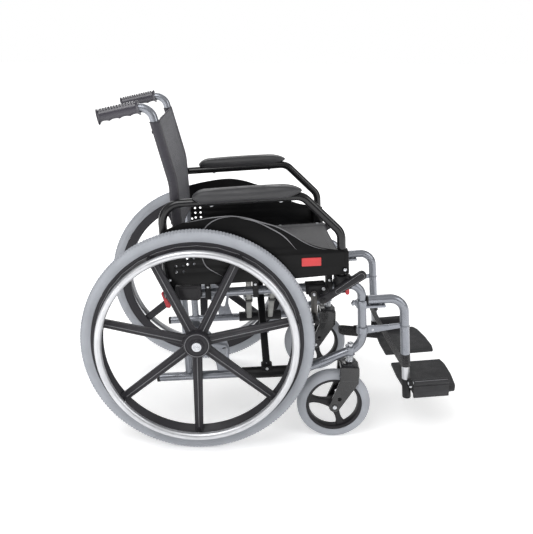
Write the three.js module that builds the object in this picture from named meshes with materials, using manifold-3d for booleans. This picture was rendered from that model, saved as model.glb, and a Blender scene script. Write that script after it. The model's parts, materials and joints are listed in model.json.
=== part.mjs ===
// Manual folding wheelchair, in millimetres.
// +X is forward, +Z is up and Y = 0 is the chair's middle plane. The left side is built at +Y and mirrored
// for the right. The frame is raked: its own u (forward) and v (up) axes are tilted back about the main axle.
import * as THREE from "three";
import { mergeVertices } from "three/addons/utils/BufferGeometryUtils.js";
import Module from "manifold-3d";

const wasm = await Module();
wasm.setup();

// ---------------------------------------------------------------- driving dimensions
const WHEEL_R = 305; // main tyre, outside
const WHEEL_Y = 258; // middle plane of the main wheel
const TYRE_HALF = 17;
const FRAME_Y = 192; // plane of the frame tubes, back canes, casters and footrest hangers
const RAKE = THREE.MathUtils.degToRad(4.4);
const GAP = 0.3; // between pieces that touch
const TUBE_R = 11.5; // frame tube
const CANE_R = 11;
const HANGER_R = 12;
const FOOT_TUBE_R = 10.4;
const SHIFT_X = -205.66; // puts the middle of the chair's length over the origin

// side frame, in (u, v) from the main axle
const UPPER_V = 108.5;
const LOWER_V = -131;
const REAR_POST_U = -32;
const FRONT_POST_U = 439.5;
const RAIL_END_U = -120;
const DIAGONAL_START_U = 272;
const DIAGONAL = THREE.MathUtils.degToRad(21);
const DIAGONAL_END_V = LOWER_V + (FRONT_POST_U - DIAGONAL_START_U) * Math.tan(DIAGONAL);
const SOCKET_CANE_V = 150; // where the back cane leaves its post
const AXLE_Z = WHEEL_R;
const AXLE_R = 6;
const AXLE_SLEEVE_R = 14;
const PLATE_HALF = 3; // half thickness of the rear gusset
const STEM_SLEEVE = [12.5, 246, 270]; // radius, lowest and highest z
const CLAMP_HALF = 14; // of the blocks clamped round the upper rail
const SADDLE_U = [36, 161, 354];
const SADDLE_HALF = 7.5;

// back cane and grip
const CANE_BEND_V = 413;
const CANE_LEAN = THREE.MathUtils.degToRad(12.1); // of the upper cane, from v
const CANE_TOP_V = 611;
const GRIP_FALL = THREE.MathUtils.degToRad(8.6); // of the grip, below u
const CANE_TAIL = 126.5; // from the bend's corner to the cane's end
const GRIP_LENGTH = 106;
const GRIP_R = 16;

// armrest
const ARM_Y = 221;
const ARM_R = 11;
const ARM_REAR_U = -66;
const ARM_PIVOT_V = 125;
const ARM_TOP_V = 364;
const ARM_FRONT_U = 384.3;
const ARM_SLOPE_TOP_U = 290; // the top tube starts down here
const ARM_SLOPE_END_V = 262;
const ARM_END_V = 137;
const PAD_U = [14, 291];
const PAD_V = [362, 399];
const PAD_Y = [204.5, 256.5]; // offset outwards, so that it passes the back cane as the armrest flips
const SKIRT_Y = [ARM_Y + ARM_R + GAP, ARM_Y + ARM_R + GAP + 5];
const ARM_PIN_R = 5; // flip-back pin
const HINGE_Y = FRAME_Y + 12.5; // inner face of the flip-back hinge
const SOCKET_U = [366, 402];
const SOCKET_TOP_V = 149;

// brake
const BRAKE_U = [292, 343];
const BRAKE_LEVER_PIVOT = [330, 92];
const BRAKE_LEVER_Y = [241, 249];
const BRAKE_SLOPE = THREE.MathUtils.degToRad(31.7); // of the lever, from u
const BRAKE_LEVER_LENGTH = 116;
const BRAKE_ARM_PIVOT = [310.5, 101];
const BRAKE_ARM_Y = [219, 227];
const PIVOT_PIN_R = 4.5; // lever and shoe arm
const SHOE_R = 6;
const SHOE_V = 44;
const SHOE_U = Math.sqrt((WHEEL_R + SHOE_R + 1.7) ** 2 - SHOE_V ** 2);

// release levers, from pivot to tip
const FRONT_RELEASE = [[397.5, 103], [398, 97]];
const REAR_RELEASE = [[-84, 120], [-72, 86]];

// main wheel
const RIM = [262, 275.7]; // inside and outside of its outer edge
const RIM_SHELF_R = 247; // inside of its inner edge, towards the chair
const HUB_R = 35;
const HAND_RIM_R = 253;
const HAND_RIM_TUBE = 9.5;
const HAND_RIM_Y = 295;
const SPOKES = 7;
const FIRST_SPOKE = THREE.MathUtils.degToRad(-88.5);
const SPOKE_WIDTH = [25, 20]; // at the hub and at the rim

// caster
const CASTER_R = 99.6;
const CASTER_TYRE_HALF = 15;
const CASTER_RIM = [67, 76];
const STEM_X = 411;
const CASTER_TRAIL = 37;
const CASTER_X = STEM_X - CASTER_TRAIL;
const CASTER_Z = CASTER_R;
const CASTER_PIN_R = 5;
const STEM_R = 6.5;
const FORK_TOP_Z = 223;
const FORK_HALF = 27;
const FORK_SLOT_HALF = 19.5;

// footrest
const HANGER_TOP_V = 63.5;
const HANGER_BEND_U = 549.7;
const HANGER_END = [553.4, -97];
const POST_RING = 15.5;
const HANGER_COLLARS = [[43, 65], [-31, -11]]; // v range of the upper and lower ring on the front post
const LATCH_PIVOT = [FRONT_POST_U - 17.5, 60];
const FOOT_RAKE = THREE.MathUtils.degToRad(1.8); // of the down tube, from v
const PLATE_INNER_Y = 31;
const PLATE_HINGE_Y = 208;
const PLATE_TOP_Q = -110;
const PLATE_THICK = 10;
const FLAP_P = [15, 109];
const FLAP_HINGE_Q = -81;
const STRAP_WIDTH = 36;
const COLLAR_R = 14.5;
const HEEL_P = [-106, -26]; // from the loop's back to its front
const HEEL_Y = 148;
const HEEL_R = 20; // of its rounded ends, outside
const HEEL_Q = [-102, -78];

// cross-brace and seat
const SEAT_TUBE_V = 160;
const SEAT_TUBE_R = 11;
const SEAT_TUBE_U = [-8, 398];
const SEAT_U = [0, 400];
const CROSS_BOLT_R = 4;
const SLEEVE_U = [112, 250];
const SLEEVE_R = 15.5;
const ARM_A_U = 180; // the single black arm, between the two flat ones
const ARM_B_U = [145, 214];
const ARM_A_SIZE = [20, 26]; // along u, across the arm
const ARM_B_SIZE = [16, 16];
const SLING_THICK = 3;
const BACK_V = [244, 570];
const BRACE_RISE = SEAT_TUBE_V - LOWER_V;
const BRACE_ANGLE = Math.atan2(BRACE_RISE, 2 * FRAME_Y);
const BRACE_LENGTH = Math.hypot(BRACE_RISE, 2 * FRAME_Y);
const BRACE_MID_V = (SEAT_TUBE_V + LOWER_V) / 2;

// ---------------------------------------------------------------- materials
const finish = (color, roughness, metalness) => new THREE.MeshStandardMaterial({ color, roughness, metalness });
const GREY_METAL = finish(0x94979f, 0.38, 0.75);
const BLACK_METAL = finish(0x1c1c1e, 0.3, 0.5);
const ZINC = finish(0xc4c6ca, 0.3, 0.9);
const ALUMINIUM = finish(0xd6d7da, 0.25, 0.9);
const BLACK_PLASTIC = finish(0x2b2a2d, 0.55, 0);
const WHEEL_PLASTIC = finish(0x464549, 0.5, 0);
const TYRE_GREY = finish(0xb0b4be, 0.85, 0);
const GRIP_RUBBER = finish(0x39383c, 0.85, 0);
const PAD_FOAM = finish(0x4b4b4e, 0.8, 0);
const SLING_FABRIC = finish(0x55545c, 0.95, 0);
const WEBBING = finish(0x2a292c, 0.9, 0);
const RED_PLASTIC = finish(0xbe323c, 0.45, 0);

// ---------------------------------------------------------------- shape helpers
function toSolid(geometry) {
  const bare = geometry.clone();
  bare.deleteAttribute("normal");
  bare.deleteAttribute("uv");
  const merged = mergeVertices(bare, 1e-3);
  const vertProperties = new Float32Array(merged.attributes.position.array);
  const made = new wasm.Manifold(
    new wasm.Mesh({ numProp: 3, vertProperties, triVerts: new Uint32Array(merged.index.array) }),
  );
  if (made.volume() > 0) return made;
  const flipped = new Uint32Array(merged.index.array);
  for (let i = 0; i < flipped.length; i += 3) {
    [flipped[i + 1], flipped[i + 2]] = [flipped[i + 2], flipped[i + 1]];
  }
  return new wasm.Manifold(new wasm.Mesh({ numProp: 3, vertProperties, triVerts: flipped }));
}

function node(name, solid, material, group) {
  const made = solid.getMesh();
  const geometry = new THREE.BufferGeometry();
  geometry.setAttribute("position", new THREE.BufferAttribute(new Float32Array(made.vertProperties), 3));
  geometry.setIndex(new THREE.BufferAttribute(new Uint32Array(made.triVerts), 1));
  geometry.computeVertexNormals();
  const mesh = new THREE.Mesh(geometry, material);
  mesh.name = name;
  group.add(mesh);
}

const join = (...solids) => solids.reduce((whole, next) => whole.add(next));
const cut = (body, ...tools) => tools.reduce((left, tool) => left.subtract(tool), body);
// A bore for a round bar of the given radius: its 12 flats clear the bar by a small gap.
const bore = (radius) => (radius + 0.2) / Math.cos(Math.PI / 12);
const place = (geometry, x, y, z) => toSolid(geometry.translate(x, y, z));

// A box from its lowest to its highest corner.
function block([x0, x1], [y0, y1], [z0, z1]) {
  const size = new THREE.BoxGeometry(x1 - x0, y1 - y0, z1 - z0);
  return place(size, (x0 + x1) / 2, (y0 + y1) / 2, (z0 + z1) / 2);
}

// A round bar along Y, from y0 to y1, centred on (x, z).
function barY(radius, [y0, y1], x, z, sides = 12) {
  return place(new THREE.CylinderGeometry(radius, radius, y1 - y0, sides), x, (y0 + y1) / 2, z);
}

// A round bar along Z.
function barZ(radius, x, y, [z0, z1], sides = 12) {
  const bar = new THREE.CylinderGeometry(radius, radius, z1 - z0, sides).rotateX(Math.PI / 2);
  return place(bar, x, y, (z0 + z1) / 2);
}

// A round bar along X.
function barX(radius, [x0, x1], y, z, sides = 12) {
  const bar = new THREE.CylinderGeometry(radius, radius, x1 - x0, sides).rotateZ(Math.PI / 2);
  return place(bar, (x0 + x1) / 2, y, z);
}

// A ring or disc round a Y axis through (x, z), from a closed profile of [radius, y] points.
function turned(profile, segments, x = 0, z = 0) {
  const points = [...profile, profile[0]].map(([r, y]) => new THREE.Vector2(r, y));
  return place(new THREE.LatheGeometry(points, segments), x, 0, z);
}

// A flat plate in the XZ plane, from an outline of [x, z] points, between two Y planes.
function plate(outline, [y0, y1]) {
  const shape = new THREE.Shape(outline.map(([x, z]) => new THREE.Vector2(x, z)));
  const slab = new THREE.ExtrudeGeometry(shape, { depth: y1 - y0, bevelEnabled: false, curveSegments: 8 });
  return toSolid(slab.rotateX(Math.PI / 2).translate(0, y1, 0));
}

// Corner points turned into a polyline whose bends are arcs: corners are [x, z, bend radius].
function bent(corners, stepDegrees = 22) {
  const flat = corners.map(([x, z]) => new THREE.Vector2(x, z));
  const line = [flat[0]];
  for (let i = 1; i < flat.length - 1; i++) {
    const radius = corners[i][2];
    const into = flat[i].clone().sub(flat[i - 1]).normalize();
    const out = flat[i + 1].clone().sub(flat[i]).normalize();
    const turn = Math.atan2(into.x * out.y - into.y * out.x, into.dot(out));
    const reach = radius * Math.tan(Math.abs(turn) / 2);
    const start = flat[i].clone().addScaledVector(into, -reach);
    const side = new THREE.Vector2(-into.y, into.x).multiplyScalar(Math.sign(turn));
    const centre = start.clone().addScaledVector(side, radius);
    const steps = Math.max(2, Math.ceil(THREE.MathUtils.radToDeg(Math.abs(turn)) / stepDegrees));
    for (let s = 0; s <= steps; s++) {
      line.push(start.clone().rotateAround(centre, (turn * s) / steps));
    }
  }
  line.push(flat[flat.length - 1]);
  return line;
}

// A curve through given points only, so that an extrusion has one section at each of them.
class Polyline extends THREE.Curve {
  constructor(points) {
    super();
    this.points = points;
  }
  getPointAt(t) {
    return this.points[Math.round(t * (this.points.length - 1))].clone();
  }
  getTangentAt(t) {
    const i = Math.round(t * (this.points.length - 1));
    const before = this.points[Math.max(i - 1, 0)];
    const here = this.points[i];
    const after = this.points[Math.min(i + 1, this.points.length - 1)];
    const into = here.clone().sub(before).normalize();
    const out = after.clone().sub(here).normalize();
    return into.add(out).normalize();
  }
}

// A round tube in a plane of constant y, along bent corners.
function tube(corners, radius, y, sides = 12) {
  const path = new Polyline(bent(corners).map((p) => new THREE.Vector3(p.x, y, p.y)));
  const section = new THREE.Shape();
  for (let i = 0; i < sides; i++) {
    const angle = (2 * Math.PI * (i + 0.5)) / sides;
    const corner = [radius * Math.cos(angle), radius * Math.sin(angle)];
    if (i === 0) section.moveTo(...corner);
    else section.lineTo(...corner);
  }
  section.closePath();
  return toSolid(new THREE.ExtrudeGeometry(section, { steps: path.points.length - 1, extrudePath: path }));
}

// A bar with rounded ends between two points of a plane, as a plate outline.
function link([x0, z0], [x1, z1], r0, r1, sides = 6) {
  const heading = Math.atan2(z1 - z0, x1 - x0);
  const outline = [];
  for (let i = 0; i <= sides; i++) {
    const angle = heading + Math.PI / 2 + (Math.PI * i) / sides;
    outline.push([x0 + r0 * Math.cos(angle), z0 + r0 * Math.sin(angle)]);
  }
  for (let i = 0; i <= sides; i++) {
    const angle = heading - Math.PI / 2 + (Math.PI * i) / sides;
    outline.push([x1 + r1 * Math.cos(angle), z1 + r1 * Math.sin(angle)]);
  }
  return outline;
}

// ---------------------------------------------------------------- side frame and what is fixed to it
// The stem sleeve stands upright in the raked frame, so it is leaned forward by the rake.
const toRaked = (x, z) => [
  x * Math.cos(RAKE) + (z - AXLE_Z) * Math.sin(RAKE),
  -x * Math.sin(RAKE) + (z - AXLE_Z) * Math.cos(RAKE),
];

function upright(radius, [z0, z1], sides = 12) {
  const bar = new THREE.CylinderGeometry(radius, radius, z1 - z0, sides).rotateX(Math.PI / 2);
  const [u, v] = toRaked(STEM_X, (z0 + z1) / 2);
  return toSolid(bar.rotateY(RAKE).translate(u, FRAME_Y, v));
}

function sideFrame() {
  const rails = tube(
    [
      [REAR_POST_U, UPPER_V],
      [FRONT_POST_U, UPPER_V, 33],
      [FRONT_POST_U, DIAGONAL_END_V, 50],
      [DIAGONAL_START_U, LOWER_V, 40],
      [RAIL_END_U, LOWER_V],
    ],
    TUBE_R,
    FRAME_Y,
  );
  const post = tube([[REAR_POST_U, LOWER_V], [REAR_POST_U, SOCKET_CANE_V]], CANE_R, FRAME_Y);
  const gusset = plate(
    [
      [-34, 34],
      [4, 30],
      [44, -18],
      [74, -30],
      [82, -48],
      [78, -80],
      [88, -124],
      [50, -124],
      [40, -92],
      [8, -52],
      [-34, -48],
    ],
    [FRAME_Y - PLATE_HALF, FRAME_Y + PLATE_HALF],
  );
  const through = [FRAME_Y - PLATE_HALF - 1, FRAME_Y + PLATE_HALF + 1];
  const slot = plate(link([68, -57], [60, -84], 6, 6, 4), through);
  const axleSleeve = barY(AXLE_SLEEVE_R, [FRAME_Y - 12, FRAME_Y + 19], 0, 0);
  const [stemSleeveR, ...stemSleeveZ] = STEM_SLEEVE;
  const stemSleeve = upright(stemSleeveR, stemSleeveZ);
  const body = join(rails, post, cut(gusset, slot), axleSleeve, stemSleeve);
  return cut(body, barY(bore(AXLE_R), [FRAME_Y - 13, FRAME_Y + 20], 0, 0), upright(bore(STEM_R), [230, 290]));
}

// A saddle clipped on the upper rail, with a half-round seat for the seat tube.
function saddle(u) {
  const along = [u - SADDLE_HALF, u + SADDLE_HALF];
  const body = block(along, [FRAME_Y - CLAMP_HALF, FRAME_Y + CLAMP_HALF], [UPPER_V - 13, SEAT_TUBE_V - 3]);
  return cut(body, barX(SEAT_TUBE_R + 0.6, [u - 20, u + 20], FRAME_Y, SEAT_TUBE_V));
}

function backCane() {
  const u0 = REAR_POST_U;
  const rise = CANE_TOP_V - CANE_BEND_V;
  const u1 = u0 - rise * Math.tan(CANE_LEAN);
  const back = [Math.cos(GRIP_FALL), -Math.sin(GRIP_FALL)];
  const end = [u1 - CANE_TAIL * back[0], CANE_TOP_V + CANE_TAIL * back[1]];
  const corners = [[u0, SOCKET_CANE_V + GAP], [u0, CANE_BEND_V, 180], [u1, CANE_TOP_V, 28], end];
  return { solid: tube(corners, CANE_R, FRAME_Y), end, back };
}

// The rubber grip: a sleeve over the cane's end, with a flared front ring and a closed rear end.
function grip({ end, back }) {
  const profile = [
    [0, 6],
    [CANE_R + GAP, 6],
    [CANE_R + GAP, GRIP_LENGTH],
    [17.5, GRIP_LENGTH],
    [17.5, GRIP_LENGTH - 7],
    [14.5, GRIP_LENGTH - 14],
    [GRIP_R, 60],
    [GRIP_R, 8],
    [13, 0],
    [0, 0],
  ];
  const points = profile.map(([r, y]) => new THREE.Vector2(r, y));
  const sleeve = new THREE.LatheGeometry(points, 12);
  const along = new THREE.Vector3(back[0], 0, -back[1]);
  sleeve.applyQuaternion(new THREE.Quaternion().setFromUnitVectors(new THREE.Vector3(0, 1, 0), along));
  return toSolid(sleeve.translate(end[0] - 6.3 * back[0], FRAME_Y, end[1] + 6.3 * back[1]));
}

function frontSocket() {
  const height = [UPPER_V - CLAMP_HALF, UPPER_V + CLAMP_HALF];
  const clamp = block(SOCKET_U, [FRAME_Y - CLAMP_HALF, ARM_Y - 9], height);
  const cup = barZ(18.5, ARM_FRONT_U, ARM_Y, [UPPER_V + 4, SOCKET_TOP_V]);
  const recess = barZ(13, ARM_FRONT_U, ARM_Y, [ARM_END_V - 1, SOCKET_TOP_V + 1]);
  return cut(join(clamp, cup), recess, railBore(SOCKET_U));
}

// What a part clamped round the upper rail loses to it.
const railBore = ([u0, u1]) => barX(bore(TUBE_R), [u0 - 10, u1 + 10], FRAME_Y, UPPER_V);

// The flip-back hinge's housing, its ear and the pin that the armrest turns on.
function rearHousing() {
  const box = block([-48, 20], [HINGE_Y, ARM_Y + 10], [103, 146]);
  const ear = block([-82, 20], [HINGE_Y, HINGE_Y + 4.5], [104, 145]);
  const pin = barY(ARM_PIN_R, [HINGE_Y + 0.5, ARM_Y + ARM_R], ARM_REAR_U, ARM_PIVOT_V);
  return join(box, ear, pin);
}

function brakeBracket() {
  const reach = [FRAME_Y - CLAMP_HALF, FRAME_Y + 20];
  const clamp = block(BRAKE_U, reach, [UPPER_V - CLAMP_HALF, UPPER_V + CLAMP_HALF]);
  const cheekY = [FRAME_Y + 19, FRAME_Y + 26];
  const cheek = plate([[296, 122], [342, 122], [346, 100], [338, 77], [322, 77], [300, 88]], cheekY);
  const leverPin = barY(PIVOT_PIN_R, [cheekY[0] + 1, BRAKE_LEVER_Y[1] + 1], ...BRAKE_LEVER_PIVOT);
  const armPin = barY(PIVOT_PIN_R, [cheekY[0] + 1, BRAKE_ARM_Y[1] + 2], ...BRAKE_ARM_PIVOT);
  return cut(join(clamp, cheek, leverPin, armPin), railBore(BRAKE_U));
}

function brakeLever() {
  const [u, v] = BRAKE_LEVER_PIVOT;
  const [low, high] = BRAKE_LEVER_Y;
  const along = (reach) => [u + reach * Math.cos(BRAKE_SLOPE), v + reach * Math.sin(BRAKE_SLOPE)];
  const shank = plate(link([u, v], along(BRAKE_LEVER_LENGTH * 0.7), 10, 10), [low, high]);
  const handleEnds = [along(BRAKE_LEVER_LENGTH * 0.35), along(BRAKE_LEVER_LENGTH)];
  const handle = plate(link(...handleEnds, 10, 11.5), [low - 1, high + 3]);
  const boss = barY(8, [BRAKE_ARM_Y[1] + 1, low + 1], u, v);
  return cut(join(shank, handle, boss), barY(bore(PIVOT_PIN_R), [BRAKE_ARM_Y[0], high + 5], u, v));
}

function brakeArm() {
  const [u, v] = BRAKE_ARM_PIVOT;
  const arm = plate(link([u, v], [SHOE_U, SHOE_V], 9, 11), BRAKE_ARM_Y);
  const shoe = barY(SHOE_R, [BRAKE_ARM_Y[1] - 1, WHEEL_Y + TYRE_HALF], SHOE_U, SHOE_V, 12);
  return cut(join(arm, shoe), barY(bore(PIVOT_PIN_R), [BRAKE_ARM_Y[0] - 1, BRAKE_ARM_Y[1] + 1], u, v));
}

function armrestTube() {
  const path = tube(
    [
      [ARM_REAR_U, ARM_PIVOT_V - 11],
      [ARM_REAR_U, ARM_TOP_V, 50],
      [ARM_SLOPE_TOP_U, ARM_TOP_V, 40],
      [ARM_FRONT_U, ARM_SLOPE_END_V, 40],
      [ARM_FRONT_U, ARM_END_V],
    ],
    ARM_R,
    ARM_Y,
  );
  return cut(path, barY(bore(ARM_PIN_R), [ARM_Y - 20, ARM_Y + 20], ARM_REAR_U, ARM_PIVOT_V));
}

// The pad, with a channel underneath that the tube lies in.
function armrestPad() {
  const [v0, v1] = PAD_V;
  const outline = [
    [PAD_U[0], v0 + 10],
    [PAD_U[0] + 6, v0],
    [PAD_U[1] - 40, v0],
    [PAD_U[1] - 12, v0 + 6],
    [PAD_U[1], v0 + 16],
    [PAD_U[1] - 14, v1 - 8],
    [PAD_U[1] - 40, v1],
    [PAD_U[0] + 12, v1 - 2],
    [PAD_U[0], v1 - 10],
  ];
  const body = plate(outline, PAD_Y);
  const half = ARM_R + GAP;
  const channel = block([0, 300], [ARM_Y - half, ARM_Y + half], [v0 - 5, ARM_TOP_V + half]);
  const slope = new THREE.BoxGeometry(90, 2 * half, 60).rotateY(THREE.MathUtils.degToRad(24));
  return cut(body, channel, place(slope, 322, ARM_Y, 338));
}

// The skirt guard's outline in (u, v): the top edge follows the wheel's arc and drops to the front.
const SKIRT = [
  [-62, 152],
  [74, 148],
  [245, 150],
  [348, 154],
  [388, 155],
  [399, 178],
  [396, 216],
  [372, 221],
  [326, 230],
  [291, 247],
  [256, 272],
  [222, 293],
  [187, 306],
  [153, 319],
  [110, 328],
  [64, 327],
  [20, 322],
  [-26, 314],
  [-66, 297],
  [-67, 210],
];

function frontRelease() {
  const y0 = ARM_Y - 9 + GAP;
  return plate(link(...FRONT_RELEASE, 6, 4.5), [y0, y0 + 9]);
}

function rearRelease() {
  return plate(link(...REAR_RELEASE, 6, 6), [HINGE_Y - 10, HINGE_Y - 0.5]);
}

// ---------------------------------------------------------------- wheels
const spokeAngle = (i) => FIRST_SPOKE + (2 * Math.PI * i) / SPOKES;

function mainWheel() {
  const y = WHEEL_Y;
  const rim = turned(
    [[RIM_SHELF_R, y - 13], [RIM[1], y - 13.5], [RIM[1], y + 13.5], [RIM[0], y + 12], [RIM_SHELF_R, y - 9]],
    32,
  );
  const hub = turned(
    [
      [bore(AXLE_R), FRAME_Y + 20],
      [20, FRAME_Y + 20],
      [24, y - 18],
      [HUB_R, y - 10],
      [HUB_R, y + 22],
      [28, y + 27],
      [bore(AXLE_R), y + 27],
    ],
    16,
  );
  const spokes = [...Array(SPOKES).keys()].map((i) => {
    const angle = spokeAngle(i);
    const [inner, outer] = SPOKE_WIDTH;
    const ends = [[24, -inner / 2], [RIM[0] + 2, -outer / 2], [RIM[0] + 2, outer / 2], [24, inner / 2]];
    const turned = ends.map(([x, z]) => new THREE.Vector2(x, z).rotateAround(new THREE.Vector2(), angle));
    return plate(turned.map(({ x, y: z }) => [x, z]), [y - 6, y + 11]);
  });
  return join(rim, hub, ...spokes);
}

function mainTyre() {
  const inner = RIM[1] + GAP;
  return turned(
    [
      [inner, WHEEL_Y - TYRE_HALF + 3],
      [inner + 9, WHEEL_Y - TYRE_HALF],
      [WHEEL_R - 5, WHEEL_Y - TYRE_HALF + 5],
      [WHEEL_R, WHEEL_Y - 5],
      [WHEEL_R, WHEEL_Y + 5],
      [WHEEL_R - 5, WHEEL_Y + TYRE_HALF - 5],
      [inner + 9, WHEEL_Y + TYRE_HALF],
      [inner, WHEEL_Y + TYRE_HALF - 3],
    ],
    32,
  );
}

// The hand rim stands off the wheel rim on one tab at each spoke.
function handRim() {
  const section = [...Array(6).keys()].map((i) => {
    const angle = (2 * Math.PI * i) / 6;
    return [HAND_RIM_R + HAND_RIM_TUBE * Math.cos(angle), HAND_RIM_Y + HAND_RIM_TUBE * Math.sin(angle)];
  });
  const tabs = [...Array(SPOKES).keys()].map((i) => {
    const angle = spokeAngle(i);
    const tab = new THREE.BoxGeometry(8, 16, 20).translate(259, WHEEL_Y + 13.5 + GAP + 8, 0);
    return toSolid(tab.rotateY(-angle));
  });
  return join(turned(section, 32), ...tabs);
}

function axle() {
  const pin = barY(AXLE_R, [FRAME_Y - 15, WHEEL_Y + 30], 0, 0);
  const cap = barY(13, [WHEEL_Y + 27 + GAP, WHEEL_Y + 32], 0, 0);
  return join(pin, cap);
}

// ---------------------------------------------------------------- caster, upright in the chair's own frame
function casterFork() {
  const outline = [
    [384, FORK_TOP_Z - 6],
    [390, FORK_TOP_Z],
    [428, FORK_TOP_Z],
    [434, FORK_TOP_Z - 6],
    [436, 174],
    ...[-0.62, -1.1, -1.7, -2.3, -2.9, -3.4].map((a) => [
      CASTER_X + 15.5 * Math.cos(a),
      CASTER_Z + 15.5 * Math.sin(a),
    ]),
    [383, 172],
  ];
  const body = plate(outline, [FRAME_Y - FORK_HALF, FRAME_Y + FORK_HALF]);
  const slot = block([300, 500], [FRAME_Y - FORK_SLOT_HALF, FRAME_Y + FORK_SLOT_HALF], [0, 207]);
  const axleBore = barY(bore(CASTER_PIN_R), [100, 300], CASTER_X, CASTER_Z);
  const spareBore = barY(5, [100, 300], CASTER_X + 12, CASTER_Z + 24);
  const stemBore = barZ(bore(STEM_R), STEM_X, FRAME_Y, [200, 240]);
  return cut(body, slot, axleBore, spareBore, stemBore);
}

function casterStem() {
  const [, sleeveBottom, sleeveTop] = STEM_SLEEVE;
  const bolt = barZ(STEM_R, STEM_X, FRAME_Y, [209, sleeveTop + 9]);
  const nut = barZ(11, STEM_X, FRAME_Y, [FORK_TOP_Z + GAP, sleeveBottom - 7.5], 6);
  const cap = barZ(8.5, STEM_X, FRAME_Y, [sleeveTop + 7.5, sleeveTop + 14]);
  return join(bolt, nut, cap);
}

function casterRim() {
  const ring = turned(
    [
      [CASTER_RIM[0], FRAME_Y - 12],
      [CASTER_RIM[1], FRAME_Y - 13],
      [CASTER_RIM[1], FRAME_Y + 13],
      [CASTER_RIM[0], FRAME_Y + 12],
    ],
    24,
    CASTER_X,
    CASTER_Z,
  );
  const hub = barY(15, [FRAME_Y - 18.5, FRAME_Y + 18.5], CASTER_X, CASTER_Z);
  const spokes = [170, 50, -70].map((degrees) => {
    const angle = THREE.MathUtils.degToRad(degrees);
    const reach = [CASTER_X + 64 * Math.cos(angle), CASTER_Z + 64 * Math.sin(angle)];
    return plate(link([CASTER_X, CASTER_Z], reach, 12, 8, 3), [FRAME_Y - 8, FRAME_Y + 8]);
  });
  const body = join(ring, hub, ...spokes);
  return cut(body, barY(bore(CASTER_PIN_R), [100, 300], CASTER_X, CASTER_Z));
}

function casterTyre() {
  const inner = CASTER_RIM[1] + GAP;
  const half = CASTER_TYRE_HALF;
  return turned(
    [
      [inner, FRAME_Y - half + 1],
      [inner + 10, FRAME_Y - half],
      [CASTER_R - 4, FRAME_Y - half + 5],
      [CASTER_R, FRAME_Y - 5],
      [CASTER_R, FRAME_Y + 5],
      [CASTER_R - 4, FRAME_Y + half - 5],
      [inner + 10, FRAME_Y + half],
      [inner, FRAME_Y + half - 1],
    ],
    24,
    CASTER_X,
    CASTER_Z,
  );
}

function casterAxle() {
  const pin = barY(CASTER_PIN_R, [FRAME_Y - FORK_HALF - 2, FRAME_Y + FORK_HALF + 2], CASTER_X, CASTER_Z);
  const heads = [-1, 1].map((s) => {
    const face = FRAME_Y + s * (FORK_HALF + GAP);
    return barY(7.5, [Math.min(face, face + s * 4), Math.max(face, face + s * 4)], CASTER_X, CASTER_Z);
  });
  return join(pin, ...heads);
}

// ---------------------------------------------------------------- footrest
function hanger() {
  const [endU, endV] = HANGER_END;
  const bow = tube(
    [[452, HANGER_TOP_V], [HANGER_BEND_U, HANGER_TOP_V, 40], [endU, endV]],
    HANGER_R,
    FRAME_Y,
  );
  const rings = HANGER_COLLARS.map((v) => barZ(POST_RING, FRONT_POST_U, FRAME_Y, v));
  const bracket = block([444, 500], [FRAME_Y - 13, FRAME_Y + 13], [44, 52]);
  const strut = plate([[448, -30], [545, -20], [545, -9], [448, -11]], [FRAME_Y - 4, FRAME_Y + 4]);
  const body = join(bow, ...rings, bracket, strut);
  const postBore = barZ(bore(TUBE_R), FRONT_POST_U, FRAME_Y, [-60, 80]);
  return cut(body, postBore, downTube(bore(FOOT_TUBE_R), [-5, 122]));
}

// A bar on the down tube's line, from q0 to q1 above the hanger tube's lower end.
function downTube(radius, [q0, q1], sides = 12) {
  const bar = new THREE.CylinderGeometry(radius, radius, q1 - q0, sides).rotateX(Math.PI / 2);
  bar.translate(0, 0, (q0 + q1) / 2).rotateY(-FOOT_RAKE);
  return place(bar, HANGER_END[0], FRAME_Y, HANGER_END[1]);
}

function footTube() {
  const inner = barZ(FOOT_TUBE_R, 0, FRAME_Y, [-80, 70]);
  const shoe = barZ(9.5, 0, FRAME_Y, [-131, -75]);
  const ear = block([2, 13.5], [FRAME_Y - 4, PLATE_HINGE_Y - 5], [FLAP_HINGE_Q - 12, FLAP_HINGE_Q + 4]);
  const pin = barX(4, [5, FLAP_P[1] - 5], PLATE_HINGE_Y, FLAP_HINGE_Q);
  const lug = block([2, 13.5], [PLATE_HINGE_Y - 8, PLATE_HINGE_Y + 6], [FLAP_HINGE_Q - 8, FLAP_HINGE_Q + 7]);
  return join(inner, shoe, ear, lug, pin);
}

// The plate in plan, then its outer wall and the hinge roll along the top of that wall.
function footplate() {
  const outline = [
    [-3, PLATE_INNER_Y + 4],
    [1, PLATE_INNER_Y],
    [138, PLATE_INNER_Y],
    [142, PLATE_INNER_Y + 4],
    [146, 90],
    [144, 120],
    [136, 180],
    [128, 200],
    [FLAP_P[1], 204],
    [FLAP_P[0], 204],
    [FLAP_P[0], 172],
    [-2, 172],
    [-5, 100],
  ];
  const shape = new THREE.Shape(outline.map(([p, y]) => new THREE.Vector2(p, y)));
  const slab = new THREE.ExtrudeGeometry(shape, { depth: PLATE_THICK, bevelEnabled: false });
  const deck = place(slab, 0, 0, PLATE_TOP_Q - PLATE_THICK);
  const wall = block(FLAP_P, [200, 208], [PLATE_TOP_Q - PLATE_THICK - 3, FLAP_HINGE_Q]);
  const roll = barX(7.5, FLAP_P, PLATE_HINGE_Y, FLAP_HINGE_Q);
  const body = join(deck, wall, roll);
  return cut(body, barX(bore(4), [FLAP_P[0] - 1, FLAP_P[1] + 1], PLATE_HINGE_Y, FLAP_HINGE_Q));
}

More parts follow.
